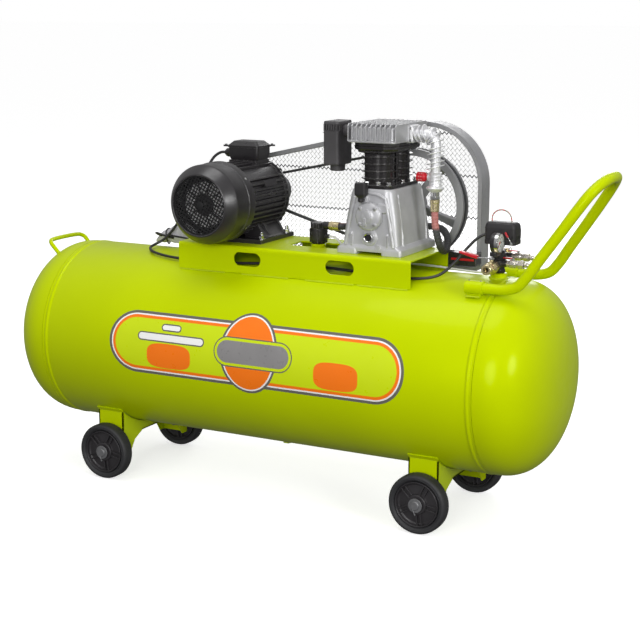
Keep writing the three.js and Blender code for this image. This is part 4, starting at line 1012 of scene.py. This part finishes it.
side_boss = loft([[(x, y, z) for x, z in rounded(CX + 36, 412, 34 * w, 24 * w, 10 * w)]
    for y, w in ((-77, 1.1), (-83, 0.8))])
drain = lathe([(0, -84.4), (7, -84.4), (8, -83), (8, -79), (0, -79)], "y", (CX + 26, 0, 313), 6)
back_boss = lathe([(24.2, 128), (42, 128), (42, 137), (39, 140), (24.2, 140), (24.2, 128)], "y",
    SHAFT, 48)
piece("crankcase_casting", join(housing, skirt, *feet, *front_edges, brow, *front_low, *side_ribs,
    boss, filler_boss, glass_boss, side_boss, drain, back_boss), "cast", "crankcase", bevel=0.9,
    sharp=30)
cap_profile = [(0, -96.5), (13, -96.5), (16, -95), (20, -93.2), (30, -92.4), (34.5, -90),
    (36.6, -86.5), (36.8, -80.4), (0, -80.4)]
pointer = loft([[(x, y, z) for x, z in chamfered(0, 0, 9 * w, 30 * w, 2)]
    for y, w in ((-92, 1.1), (-99.6, 0.8))])
pointer = moved(spun(pointer, "y", -32), CX + 5, 0, 396)
cover_lugs = [lathe([(0, -95), (4.6, -95), (5.6, -93.6), (6, -88), (0, -88)], "y",
    (CX + u, 0, PZ + v), 20) for u, v in about(4, 29, 45)]
rail_rib = tab(CX - 6, 378, 7, 24, 3, ((-92, 1.1), (-98, 0.8)))
piece("bearing_cap", join(lathe(cap_profile, "y", SHAFT, 64), pointer, *cover_lugs, rail_rib),
    "cast", "bearing_cover", bevel=0.6)
piece("bearing_screws", join(*[bolt("y", (CX + u, -95, PZ + v), 6.5, 3.4, False, way=-1)
    for u, v in about(4, 29, 45)]), "steel", bevel=0.2)
piece("oil_glass_ring", lathe([(8.8, -88), (10.5, -89.6), (12, -89.6), (13, -87.6), (13, -80.4),
    (8.8, -80.4), (8.8, -88)], "y", (CX, 0, GLASS_Z), 40), "chrome", "sight_glass", bevel=0.2)
piece("oil_glass", join(lathe([(0, -86.2), (8.6, -86), (8.6, -81), (0, -81)], "y",
    (CX, 0, GLASS_Z), 32), *[moved(box(-6, 6, -87, -86.1, -0.7, 0.7), CX, 0, GLASS_Z + z)
    for z in (-2.6, 2.6)]), "glass_dark", bevel=0.2)
breather_cap = tray(267, -93.5, ((16, 13, 438.5), (29, 22.6, 446), (30, 23, 449), (30, 23, 474),
    (28, 21, 476)), 4)
breather_neck = join(lathe([(0, 428), (7, 428), (7.4, 432), (6.4, 435), (7.6, 440), (0, 440)],
    "z", (FILLER_X, -92, 0), 24), rod("y", 6.4, -94, -80.5, (FILLER_X, 0, 432), 24, 1))
piece("breather", join(breather_cap, breather_neck, box(251.9, 282.1, -105.1, -81.9, 467, 468.2)),
    "plastic", "oil_breather", bevel=0.6)

# Cylinders: round finned barrels side by side, with studs and a bridge between them
def fin_plate(y, z):
    thick, radius = 3.2, 46.0
    return lathe([(36, z), (radius - 1, z), (radius, z + 0.9), (radius, z + thick - 0.9),
        (radius - 1, z + thick), (36, z + thick), (36, z)], "z", (CX, y, 0), 64)


barrels = [lathe([(33, 459.4), (41, 459.4), (41, 470), (38, 474), (38, 545), (41, 548),
    (44, 553.6), (33, 553.6), (33, 459.4)], "z", (CX, y, 0), 56) for y in CYLINDERS]
fin_rows = [fin_plate(y, z) for z in (482, 500, 518, 536) for y in CYLINDERS]
foot_plate = tray(CX, CY, ((100, 178, 459.4), (102, 180, 460.4), (102, 180, 467),
    (100, 178, 468)), 14)
neck_plate = tray(CX, CY, ((92, 172, 548), (100, 182, 550), (100, 182, 553.6)), 30)
studs = [rod("z", 5, 468, 548, (CX + sx * 26, 22, 0), 20) for sx in (-1, 1)]
bridge = box(CX - 16, CX + 16, 6, 38, 459.4, 553.6)
piece("cylinders", join(*barrels, *fin_rows, foot_plate, neck_plate, *studs, bridge), "finned",
    "cylinder_block", bevel=0.5, sharp=36)
piece("cylinder_nuts", join(*[bolt("z", (CX + sx * 43, y, 468.2), 11, 7) for sx in (-1, 1)
    for y in (-60, 22, 104)], *[bolt("z", (CX + sx * 15, -62, 468.2), 11, 7) for sx in (-1, 1)]),
    "chrome", bevel=0.4)


def octagon(width, depth, cut, z):
    return [(x, y, z) for x, y in chamfered(CX, CY, width, depth, cut)]


piece("valve_plates", join(loft([octagon(118, 178, 26, 554.1), octagon(124, 184, 28, 558),
    octagon(124, 184, 28, 564.2), octagon(122, 182, 28, 565)]),
    loft([octagon(120, 180, 27, 565.2), octagon(123, 183, 28, 566), octagon(123, 183, 28, 573.2),
    octagon(122, 182, 28, 573.9)])), "finned", "valve_plate", bevel=0.5)

# Head: a tray of upright plates over a box, flat flanged end towards the aftercooler
head_plates = []
for i in range(11):
    x = CX - 66 + 13.2 * i
    back = 6 if i in (0, 10) else 1.5 if i in (1, 9) else 0
    head_plates.append(prism([(CY - 100 + back, 577), (CY - 100 + back, 616),
        (CY - 94 + back, 621.6), (CY + 94 - back, 621.6), (CY + 100 - back, 616),
        (CY + 100 - back, 577)], x - 1.5, x + 1.5, "x"))
head_core = tray(CX, CY, ((132, 198, 574.4, 10), (134, 200, 575.4, 10), (134, 200, 579, 10),
    (124, 184, 581, 8), (124, 182, 611, 8), (118, 176, 614, 8)))
side_plates = [box(CX + s * 60 - 7, CX + s * 60 + 7, y - 1.5, y + 1.5, 577, 619) for s in (-1, 1)
    for y in (CY + 44, CY + 58, CY + 72, CY + 86)]
pads = [loft([[(CX + s * x, y, z) for y, z in rounded(CY, 594, w, w * 0.92, 6)]
    for x, w in ((58, 50), (70.5, 50), (72, 47.5))]) for s in (-1, 1)]
cross = [box(CX - 66, CX + 66, y - 2, y + 2, 611, 617) for y in (CY - 62, CY, CY + 62)]
piece("head_casting", join(head_core, *head_plates, *side_plates, *pads, *cross), "head",
    "cylinder_head", bevel=0.5)
piece("head_bolts", join(*[bolt("z", (CX + sx * 33, y, 614), 12, 6) for sx in (-1, 1)
    for y in (-56, 22, 100)], *[bolt("x", (CX + 72, y, z), 9, 4, False) for y in (3, 41)
    for z in (579, 609)]), "dull", bevel=0.3)
for node, label in (("piston_front", "piston_one"), ("piston_rear", "piston_two")):
    y = CYLINDERS[0] if node == "piston_front" else CYLINDERS[1]
    lands = [483, 495, 499, 506, 510, 514, 518, 528.4]
    rings = [(0, 483.2)]
    for low, high in zip(lands[::2], lands[1::2]):
        rings += [(30.9, low - 0.6 if low > 484 else low + 0.2), (31.4, low + 0.4),
            (31.4, high - 0.4), (30.9, high)]
    rings.append((0, 528.9))
    piece(label, lathe(rings, "z", (CX, y, 0), 48), "cast", node, bevel=0.2)

# Intake filter: a moulded box with louvres at its top edge and a spigot below
filter_box = tray(141, 20, ((42, 76, 507, 7), (45, 79, 509, 8), (46, 80, 512, 8),
    (46, 80, 596, 8)))
filter_core = tray(141, 20, ((38, 72, 594), (38, 72, 613)))
filter_lid = tray(141, 20, ((46, 80, 612, 8), (46, 80, 616, 8), (44, 78, 619, 7),
    (41, 75, 620, 6)))
slats = [box(x - 1.9, x + 1.9, -20, -16.4, 594, 613) for x in range(122, 163, 7)]
slats += [box(x - 1.9, x + 1.9, 56.4, 60, 594, 613) for x in range(122, 163, 7)]
slats += [box(x - 1.8, x + 1.8, y - 2.6, y + 2.6, 594, 613) for x in (119.8, 162.2)
    for y in range(-9, 52, 10)]
filter_tail = join(lathe([(0, 490), (17, 490), (19.6, 491.5), (19.6, 500), (20, 507.4),
    (0, 507.4)], "z", (141, 20, 0), 40), lathe([(0, 163), (17, 163), (17, CX - 78), (20, CX - 78),
    (20, CX - 72.8), (0, CX - 72.8)], "x", (0, CY, 594), 36))
filter_band = box(117.9, 164.1, -20.1, 60.1, 590, 591.4)
piece("air_filter", join(filter_box, filter_core, filter_lid, *slats, filter_tail, filter_band),
    "filter", "intake_filter", bevel=0.6)

# ---------------------------------------------------------------- delivery line
def leaf(at, axis, lean, radius, thick=1.9):
    """One cast cooling fin round the pipe, leaning against its axis."""
    inner = 12
    g = lathe([(inner, -thick / 2), (radius - 1, -thick / 2), (radius, 0),
        (radius - 1, thick / 2), (inner, thick / 2), (inner, -thick / 2)], axis, (0, 0, 0), 28)
    return moved(spun(g, "y", lean), *at)


pipe_path = curve_points([(CX + 72.6, 22, 594), (CX + 92, 22, 594), (396, 22, 594),
    (411, 22, 588), (418, 22, 572), (418, 22, 534), (418, 22, 484), (418, 22, 450)])
cooler = [sweep(pipe_path, 12.5, 20), loft([[(CX + x, y, z) for y, z in rounded(22, 594, w, w, 6)]
    for x, w in ((72.5, 44), (78, 44), (80, 40))])]
cooler += [leaf((x, 22, 594 + (1.5 if x > 385 else 0)), "x", -16, 23.5, 2.8)
    for x in (367, 379, 391)]
for a in (25, 52, 78):
    turn = math.radians(a)
    cooler.append(leaf((398 + 20 * math.sin(turn) - 1, 22, 571 + 21 * math.cos(turn)), "x",
        a * 0.9, 23.5, 2.8))
cooler += [leaf((418, 22, z), "z", -16, 24.0, 2.8) for z in (560, 548, 536, 524, 512)]
cooler += [lathe([(12, 449), (15, 450), (18, 454), (22.5, 457), (23.5, 459.5), (22.5, 462),
    (16.5, 465.5), (15.6, 470), (15.2, 478), (15.6, 494), (17, 498), (13, 500), (12, 500),
    (12, 449)], "z", RISER, 40), *[leaf((421, 22, z), "z", -10, 19.0) for z in (471, 480, 489)],
    rod("x", 10, 398.4, 412, (0, RISER_Y, 486), 28, 1)]
piece("aftercooler", join(*cooler), "cooler", "discharge_elbow", bevel=0.3, segments=1, sharp=40)
piece("cooler_fitting", join(lathe([(8.4, 430), (12.4, 430), (13.4, 431.5), (13.4, 438),
    (12.4, 439.5), (8.4, 439.5), (8.4, 430)], "z", RISER, 6),
    lathe([(8.4, 439), (11, 439), (11, 449), (8.4, 449), (8.4, 439)], "z", RISER, 28)), "chrome",
    bevel=0.4)
piece("hose_ferrule", lathe([(10, 400), (11.2, 400), (11.6, 402), (11.2, 404), (11.6, 406),
    (11.6, 421), (12.6, 422), (12.6, 428.4), (11.4, 429.6), (10, 429.6), (10, 400)], "z", RISER,
    32), "brass", bevel=0.3)
RELIEF = (0, RISER_Y, 486)
cap = [(0, 368.1), (9.5, 368.1), (11.8, 369.6), (12.3, 372), (12.3, 388), (11.4, 390.6),
    (9.6, 392.2), (8, 392.6), (8, 397.6), (0, 397.6)]
knurl = [moved(spun(box(373, 387, -0.7, 0.7, 11.9, 12.45), "x", 20 * k), *RELIEF)
    for k in range(18)]
piece("relief_cap", join(lathe(cap, "x", RELIEF, 40), *knurl), "red", "relief_valve", bevel=0.3)
holes = [moved(spun(rod("x", 1.15, 368.0, 368.6, (0, 0, r), 12), "x", a), *RELIEF)
    for r, step in ((4.2, 72), (8.2, 40)) for a in range(0, 360, step)]
piece("relief_holes", join(*holes, rod("x", 1.3, 368.0, 368.6, RELIEF, 12)), "white")
vents = [moved(spun(rod("z", 1.1, 11.9, 12.5, (x, 0, 0), 10), "x", a), *RELIEF)
    for a in range(0, 360, 40) for x in (383.5, 377)]
piece("relief_vents", join(*vents), "white")

body = lathe([(0, 297.4), (16, 297.4), (18.6, 299), (19, 303), (21.6, 305), (22.4, 312),
    (22.4, 334), (20, 338), (15, 340), (0, 340)], "z", (CHECK_X, 0, 0), 48)
lobes = [moved(spun(rod("z", 5.6, 338, 353, (17.6, 0, 0), 20, 1.4), "z", 60 * k), CHECK_X)
    for k in range(6)]
knob = lathe([(0, 337), (18.6, 337), (19.4, 339), (19.4, 350), (17, 353.4), (0, 353.9)], "z",
    (CHECK_X, 0, 0), 48)
inlet = join(rod("x", 10.6, 16, 34, (CHECK_X, 0, 346), 32, 1),
    rod("x", 5.8, 16, 32, (CHECK_X, 0, 318), 24, 0.6))
piece("non_return_valve", join(body, knob, *lobes, inlet,
    *[rod("z", 4, 300, 337, (CHECK_X + 20 * math.cos(a), 20 * math.sin(a), 0), 16, 1)
    for a in (0.4, 1.9, 3.5, 5.1)]), "black", "check_valve", bevel=0.5)
piece("inlet_nut", join(lathe([(9.6, 129), (12, 129), (13, 130.4), (13, 139.6), (12, 141),
    (9.6, 141), (9.6, 129)], "x", (0, 0, 346), 6), lathe([(9.6, 141.2), (11.6, 141.2),
    (11.6, 158), (9.6, 158), (9.6, 141.2)], "x", (0, 0, 346), 28)), "brass", bevel=0.4)

# ---------------------------------------------------------------- control group
KZ = 262
VALVE_Z = KZ + 19
trunk = lathe([(0, KZ + 0.1), (15, KZ + 0.1), (17, KZ + 3), (17, KZ + 8), (15, KZ + 11),
    (15.6, KZ + 26), (17, KZ + 30), (17, KZ + 46), (15, KZ + 52), (10.6, KZ + 56), (9, KZ + 60),
    (9, KZ + 71.9), (0, KZ + 71.9)], "z", (KX, 0, 0), 6, 30)
arms = [rod("y", 11.6, -29.8, 0, (KX, 0, VALVE_Z), 32, 1),
    rod("y", 9.8, 0, 29.8, (KX, 0, KZ + 44), 32, 1), rod("x", 8.8, 0, 27.8, (KX, 18, KZ + 40), 32,
    1), rod("x", 8.8, 0, 27.8, (KX, -18, KZ + 27), 32, 1),
    rod("y", 6.8, -23.8, 0, (KX, 0, KZ + 53), 28, 1)]
shoulders = [loft([[(x, y, z) for x, y in rounded(KX + 6.5, s * 14, 17 * w, 28 * w, 4)]
    for z, w in ((a, 0.8), (a + 3, 1), (a + 15, 1), (a + 18, 0.8))])
    for s, a in ((-1, KZ + 18), (1, KZ + 31))]
collars = [ring("y", 8, 12, -29.8, -24, (KX, 0, VALVE_Z), 6),
    ring("y", 8, 10, 23, 29.8, (KX, 0, KZ + 44), 6), ring("z", 8, 10.8, KZ + 60, KZ + 66,
    (KX, 0, 0), 6)]
piece("manifold_casting", join(trunk, *arms, *shoulders, *collars), "black", "manifold", bevel=0.8)


piece("switch_foot", join(tray(612, 0, ((78, 40, 334.4), (82, 44, 336), (82, 44, 345.9))),
    ring("z", 9.6, 13.8, 326.4, 336, (KX, 0, 0), 6), rod("y", 5.8, 14, 25.8, (594, 0, 346), 24,
    0.8)), "plastic", "switch_base", bevel=0.6)
cover_sizes = ((82, 44, 346.4), (82, 44, 374), (81, 43, 380), (77, 39, 386), (70, 32, 389),
    (64, 26, 390))
ridge = box(572, 643, -22.1, 22.1, 375, 376.5)
end_ribs = [box(650, 653.1, y - 1, y + 1, 349, 372) for y in (-17, 17)]
piece("switch_housing", join(tray(612, 0, cover_sizes, 8), ridge, *end_ribs), "plastic",
    "switch_cover", bevel=0.7)
# Thin dark plates on the switch cover, with no openings: painted shade standing for its slots.
piece("switch_slot_shade", join(*[box(652.6, 653.3, y - 2.4, y + 2.4, 349, 357) for y in (-10, 0, 10)],
    *[box(x - 2.4, x + 2.4, -22.3, -21.6, 350, 358) for x in (634, 645)]), "dark")

piece("throw_pin", join(rod("y", 3.4, -27, -22.4, (644, 0, 340), 20, 0.6),
    tube([(644, -25, 340), (639.5, -26, 349), (634.5, -27, 357)], 1.35, 10)), "steel",
    "switch_lever", "switch_lever", bevel=0.2)
piece("throw_sleeve", tube([(635.5, -26.8, 355.5), (632, -27.4, 361.5), (629, -28, 368)],
    lambda share: 2.6 - 0.9 * max(0, share - 0.85) / 0.15, 16), "red", body="switch_lever",
    bevel=0.3)


def wire_look():
    """Red and grey strands twisted together."""
    n = Nodes("twisted_wire")
    wave = n.add("ShaderNodeTexWave", wave_type="BANDS", bands_direction="DIAGONAL", Scale=58.0,
        Distortion=0.6, Detail=1.0)
    n.link(n.coords(), wave.inputs["Vector"])
    strands = n.spread(wave.outputs["Fac"], 0.0, 1.0, 0.55, 0.7)
    n.link(n.mix(strands, linear(196, 66, 60), linear(150, 158, 140)),
        n.shader.inputs["Base Color"])
    n.shader.inputs["Roughness"].default_value = 0.4
    n.link(n.bump(wave.outputs["Fac"], 0.5, 0.0004), n.shader.inputs["Normal"])
    return n.material


piece("wire_link", tube([(586, -8, 390.4), (586, -8, 398), (589, -8, 408), (598, -8, 416.5),
    (611, -8, 420), (624, -8, 417), (633, -8, 409), (637, -8, 399), (638, -8, 390.4)], 1.55, 12),
    wire_look(), "wire_loop", sharp=60)

GAUGE = (0, -50, 344)
shell = lathe([(0, 605), (20, 605), (23.6, 606.6), (25.4, 610), (25.4, 624.6), (24.6, 627),
    (22.6, 627), (22.6, 622.2), (0, 622.2)], "x", GAUGE, 72)
stem = join(rod("z", 4.8, 312, 321, (612, -50, 0), 24),
    lathe([(0, 309.2), (6, 309.2), (6, 316), (0, 316)], "z", (612, -50, 0), 6),
    tray(608.5, -40, ((17, 30, 309.4), (19, 31.4, 311), (19, 31.4, 319), (17, 30, 320.8)), 5))
piece("gauge_body", join(shell, stem), "black", "gauge_case", bevel=0.4)
piece("gauge_bezel", lathe([(22.4, 618), (25.48, 618), (25.48, 626.4), (24.4, 627), (22.4, 627),
    (22.4, 618)], "x", GAUGE, 72), "chrome", bevel=0.2)
piece("gauge_dial", lathe([(0, 622.1), (22.4, 622.1), (22.4, 622.5), (0, 622.5)], "x", GAUGE, 64),
    "dial")
marks = []
for k in range(31):
    long = k % 5 == 0
    mark = box(622.5, 622.8, -0.55 if long else -0.25, 0.55 if long else 0.25,
        15.5 if long else 17.5, 20)
    marks.append(moved(spun(mark, "x", 135 + 9 * k), 0, GAUGE[1], GAUGE[2]))
piece("gauge_marks", join(*marks), "dark")
STROKES = {
    "0": [(-1, -1.6), (1, -1.6), (1, 1.6), (-1, 1.6), (-1, -1.6)],
    "1": [(0, -1.6), (0, 1.6)],
    "2": [(-1, 1.6), (1, 1.6), (1, 0), (-1, 0), (-1, -1.6), (1, -1.6)],
    "4": [(-1, 1.6), (-1, 0), (1, 0), (1, 1.6), (1, -1.6)],
    "6": [(1, 1.6), (-1, 1.6), (-1, -1.6), (1, -1.6), (1, 0), (-1, 0)],
    "8": [(-1, -1.6), (1, -1.6), (1, 1.6), (-1, 1.6), (-1, -1.6), (-1, 0), (1, 0)],
}


def figure(text, y, z):
    """Numerals on the dial as thin bars; seen from +X, +Y is to the right."""
    bars = []
    for i, sign in enumerate(text):
        off = (i - (len(text) - 1) / 2) * 3.0
        stroke = STROKES[sign]
        for (u0, v0), (u1, v1) in zip(stroke, stroke[1:]):
            bars.append(box(622.5, 622.8, y + off + min(u0, u1) - 0.3,
                y + off + max(u0, u1) + 0.3, z + min(v0, v1) - 0.3, z + max(v0, v1) + 0.3))
    return bars


numbers = []
for k, text in enumerate(("0", "2", "4", "6", "8", "10", "12")):
    way = math.radians(225 - 45 * k)
    numbers += figure(text, GAUGE[1] + 12 * math.cos(way), GAUGE[2] + 12 * math.sin(way))
piece("gauge_numbers", join(*numbers), "dark")
hand = spun(prism([(-1.3, -6), (1.3, -6), (0.9, 2), (0.25, 18.5), (-0.25, 18.5), (-0.9, 2)],
    623.6, 624.4, "x"), "x", 135)
piece("gauge_hand", join(moved(hand, 0, GAUGE[1], GAUGE[2]),
    rod("x", 2.1, 622.6, 625.3, GAUGE, 24, 0.4)), "red", "gauge_needle", "gauge_needle", bevel=0.1)
piece("gauge_glass", lathe([(0, 625.9), (22.4, 625.9), (22.4, 626.6), (14, 626.8), (0, 626.9)],
    "x", GAUGE, 64), "glass")

valve_shape = [(7.2, -88), (12, -88), (13, -87), (13, -83), (11.4, -82), (12.6, -80.6),
    (12.6, -77), (11.4, -76), (11.4, -74.6), (7.2, -74.6), (7.2, -88)]
nut_shape = [(7.2, -74.4), (14, -74.4), (15, -73), (15, -63), (14, -61.6), (7.2, -61.6),
    (7.2, -74.4)]
ball_shape = [(7.2, -61.6), (13, -61.6), (16, -58), (17, -53), (16, -47), (13.4, -43), (7.2, -43),
    (7.2, -61.6)]
neck_shape = [(7.2, -43), (14, -43), (15, -41.6), (15, -32), (14, -30.4), (7.2, -30.4), (7.2, -43)]
piece("drain_cock", join(lathe(valve_shape, "y", (KX, 0, VALVE_Z), 40),
    lathe(nut_shape, "y", (KX, 0, VALVE_Z), 6), lathe(ball_shape, "y", (KX, 0, VALVE_Z), 40),
    lathe(neck_shape, "y", (KX, 0, VALVE_Z), 6), rod("z", 5, VALVE_Z + 12, VALVE_Z + 20.9,
    (KX, -52, 0), 24, 0.6)), "brass", "ball_valve", bevel=0.4)
piece("cock_strap", join(box(KX - 46, KX + 3, -56, -48, VALVE_Z + 22, VALVE_Z + 24.4),
    lathe([(0, VALVE_Z + 21.4), (7.6, VALVE_Z + 21.4), (7.6, VALVE_Z + 25.4), (5, VALVE_Z + 26.9),
    (0, VALVE_Z + 26.9)], "z", (KX, -52, 0), 6)), "steel", "ball_valve_lever", "ball_valve_lever",
    bevel=0.4)
sleeve_rings = []
for x, low, high, half in ((36, 20.4, 28.6, 6.2), (38, 20.2, 29.2, 7), (60, 25.2, 33, 7),
        (82, 31, 36.8, 7), (84, 31.6, 36.2, 6)):
    sleeve_rings.append([(KX - x, y, z) for y, z in rounded(-52, VALVE_Z + (low + high) / 2,
        half * 2, high - low, 2.4)])
piece("cock_sleeve", loft(sleeve_rings), "red", body="ball_valve_lever", bevel=0.5)

for name, y, z in (("front", -18, KZ + 27), ("rear", 18, KZ + 40)):
    at = (KX + 28.3, y, z)
    inner = 3.1
    sleeve = lathe([(inner, 0), (8, 0), (8, 6), (9.6, 7.4), (10, 9), (10, 21), (9.4, 22.4),
        (8, 23.6), (8, 30), (inner, 30), (inner, 0)], "x", at, 32)
    nut = lathe([(inner, 30), (10, 30), (11, 31.2), (11, 43), (10, 44), (inner, 44), (inner, 30)],
        "x", at, 6)
    tail = lathe([(inner, 44), (6.4, 46), (6.4, 51), (5, 52), (5.6, 54), (4.8, 55), (5.2, 57),
        (4.4, 58), (4.6, 60), (4, 62), (inner, 62), (inner, 44)], "x", at, 28)
    piece(f"tap_{name}", join(sleeve, nut, tail, rod("z", 3.6, 8, 10.2, (at[0] + 15, y, z), 20)),
        "nickel", f"outlet_valve_{name}", bevel=0.3)
    lx = at[0] + 15
    piece(f"tap_{name}_pin", join(rod("z", 3.8, z + 10.4, z + 14.8, (lx, y, 0), 6, 0.5),
        box(lx - 8, lx + 3, y - 2.6, y + 2.6, z + 13.2, z + 14.8)), "steel",
        f"outlet_lever_{name}", f"outlet_lever_{name}", bevel=0.2)
    paddle = loft([[(px, py, zz) for px, py in rounded(lx - 13.5, y, 25 * w, 8 * w, 3.2 * w)]
        for zz, w in ((z + 13.1, 0.9), (z + 13.8, 1), (z + 15.4, 1), (z + 15.9, 0.9))])
    piece(f"tap_{name}_paddle", paddle, "red", body=f"outlet_lever_{name}", bevel=0.2)

relief_at = (KX, 0, KZ + 44)
piece("safety_body", join(lathe([(0, 30.4), (9, 30.4), (9, 37.6), (0, 37.6)], "y", relief_at, 6),
    lathe([(0, 37.4), (10, 37.4), (11, 39.6), (10.4, 42), (11, 44), (10.4, 46), (11, 48),
    (10.4, 50), (11, 52.6), (9, 56), (8, 58), (3.1, 58), (3.1, 50.2), (0, 50.2)], "y", relief_at,
    32)), "brass", "safety_valve", bevel=0.3)
piece("pull_ring", join(rod("y", 1.45, 51, 66.8, relief_at, 16, 0.3),
    torus("x", 8.25, 1.2, (KX, 74, KZ + 44), 40, 10)), "chrome", "safety_ring", "safety_ring")

# ---------------------------------------------------------------- packet tied behind the motor
def bag():
    """A crumpled film bag with a gathered neck, narrower where the tie goes round it."""
    rings = []
    for i in range(29):
        t = i / 28
        x = -435 + 134 * t
        top = 256 + 55.5 * (1 - (1 - min(1, t * 1.5 + 0.10)) ** 2.4)
        waist = math.exp(-((t - 0.30) / 0.07) ** 2)
        half = (14.3 - 4.5 * (1 - min(1, t * 5))) * (1 - 0.30 * waist)
        high = (top - 257) / 2 * (1 - 0.16 * waist)
        mid = 257 + (top - 257) / 2
        ring_points = []
        for k in range(40):
            a = 2 * math.pi * k / 40
            crease = 1 - 0.10 * (0.5 + 0.5 * math.sin(7 * a + 5.0 * t + 2.2 * math.sin(9 * t)))
            crease *= 1 - 0.05 * (0.5 + 0.5 * math.sin(13 * a - 21 * t))
            u = math.copysign(abs(math.cos(a)) ** 0.7, math.cos(a))
            v = math.copysign(abs(math.sin(a)) ** 0.8, math.sin(a))
            ring_points.append((x, 29 + half * u * crease, mid + high * v * crease))
        rings.append(ring_points)
    return loft(rings)


sack = piece("film_packet", bag(), "film", "packet", sharp=50)
tie = [(-398 + 2 * math.sin(2 * a), 29 + 13.6 * math.cos(a), 277 + 21.5 * math.sin(a))
    for a in (2 * math.pi * k / 36 for k in range(37))]
tails = [tube([(-372, 14, 275), (-386, 12, 277), (-400, 11.5, 280), (-416, 11.5, 284),
    (-430, 14, 285.5), (-433, 18, 284), (-424, 17, 281), (-412, 13, 280)], 3.0, 10),
    tube([(-400, 12, 280), (-386, 11, 283), (-366, 11.5, 281), (-346, 13, 279), (-322, 14, 276)],
    2.6, 10)]
piece("packet_tie", join(sweep(tie, 2.0, 10), *tails), "cable", sharp=60)

# ---------------------------------------------------------------- floor and light
def pale_floor():
    """A wide pale floor; it takes shadows but throws no light back at the object."""
    mesh = bpy.data.meshes.new("floor")
    mesh.from_pydata([(-90, -90, -0.0005), (90, -90, -0.0005), (90, 90, -0.0005),
        (-90, 90, -0.0005)], [], [(0, 1, 2, 3)])
    look = surface("studio_floor", (0.8, 0.8, 0.8), 0.9, vary=0.01, bump=0.02, spec=0.0)
    shader = look.node_tree.nodes["Principled BSDF"]
    shader.inputs["Emission Color"].default_value = (1.0, 1.0, 1.0, 1.0)
    shader.inputs["Emission Strength"].default_value = 0.62
    mesh.materials.append(look)
    obj = bpy.data.objects.new("floor", mesh)
    bpy.context.scene.collection.objects.link(obj)
    obj.visible_diffuse = False
    obj.visible_glossy = False


pale_floor()


def soft_light(name, location, size, power, target=(0.0, 0.0, 0.5)):
    data = bpy.data.lights.new(name, "AREA")
    data.shape = "DISK"
    data.size = size
    data.energy = power
    obj = bpy.data.objects.new(name, data)
    obj.location = location
    obj.rotation_euler = (Vector(target) - Vector(location)).to_track_quat("-Z", "Y").to_euler()
    bpy.context.scene.collection.objects.link(obj)


soft_light("key", (1.5, -5.0, 1.9), 2.4, 120)
soft_light("side", (4.8, -2.2, 1.9), 1.6, 96)
soft_light("top", (-0.4, -0.8, 4.8), 2.6, 62)
soft_light("back", (-1.2, 5.0, 2.0), 2.4, 62)


def studio_world():
    """White to the camera; to the object, a soft surround that dims towards the floor."""
    world = bpy.data.worlds.new("studio")
    world.use_nodes = True
    tree = world.node_tree
    tree.nodes.clear()
    way = tree.nodes.new("ShaderNodeTexCoord")
    split = tree.nodes.new("ShaderNodeSeparateXYZ")
    tree.links.new(way.outputs["Generated"], split.inputs[0])
    fade = tree.nodes.new("ShaderNodeMapRange")
    for socket, value in (("From Min", -0.6), ("From Max", 0.7), ("To Min", 0.10),
            ("To Max", 0.50)):
        fade.inputs[socket].default_value = value
    tree.links.new(split.outputs["Z"], fade.inputs["Value"])
    around = tree.nodes.new("ShaderNodeBackground")
    tree.links.new(fade.outputs[0], around.inputs["Strength"])
    around.inputs["Color"].default_value = (1.0, 1.0, 1.0, 1.0)
    seen = tree.nodes.new("ShaderNodeBackground")
    seen.inputs["Color"].default_value = (1.0, 1.0, 1.0, 1.0)
    rays = tree.nodes.new("ShaderNodeLightPath")
    pick = tree.nodes.new("ShaderNodeMixShader")
    tree.links.new(rays.outputs["Is Camera Ray"], pick.inputs["Fac"])
    tree.links.new(around.outputs[0], pick.inputs[1])
    tree.links.new(seen.outputs[0], pick.inputs[2])
    out = tree.nodes.new("ShaderNodeOutputWorld")
    tree.links.new(pick.outputs[0], out.inputs["Surface"])
    bpy.context.scene.world = world


studio_world()
bpy.context.scene.view_settings.view_transform = "Standard"
bpy.context.scene.view_settings.look = "None"
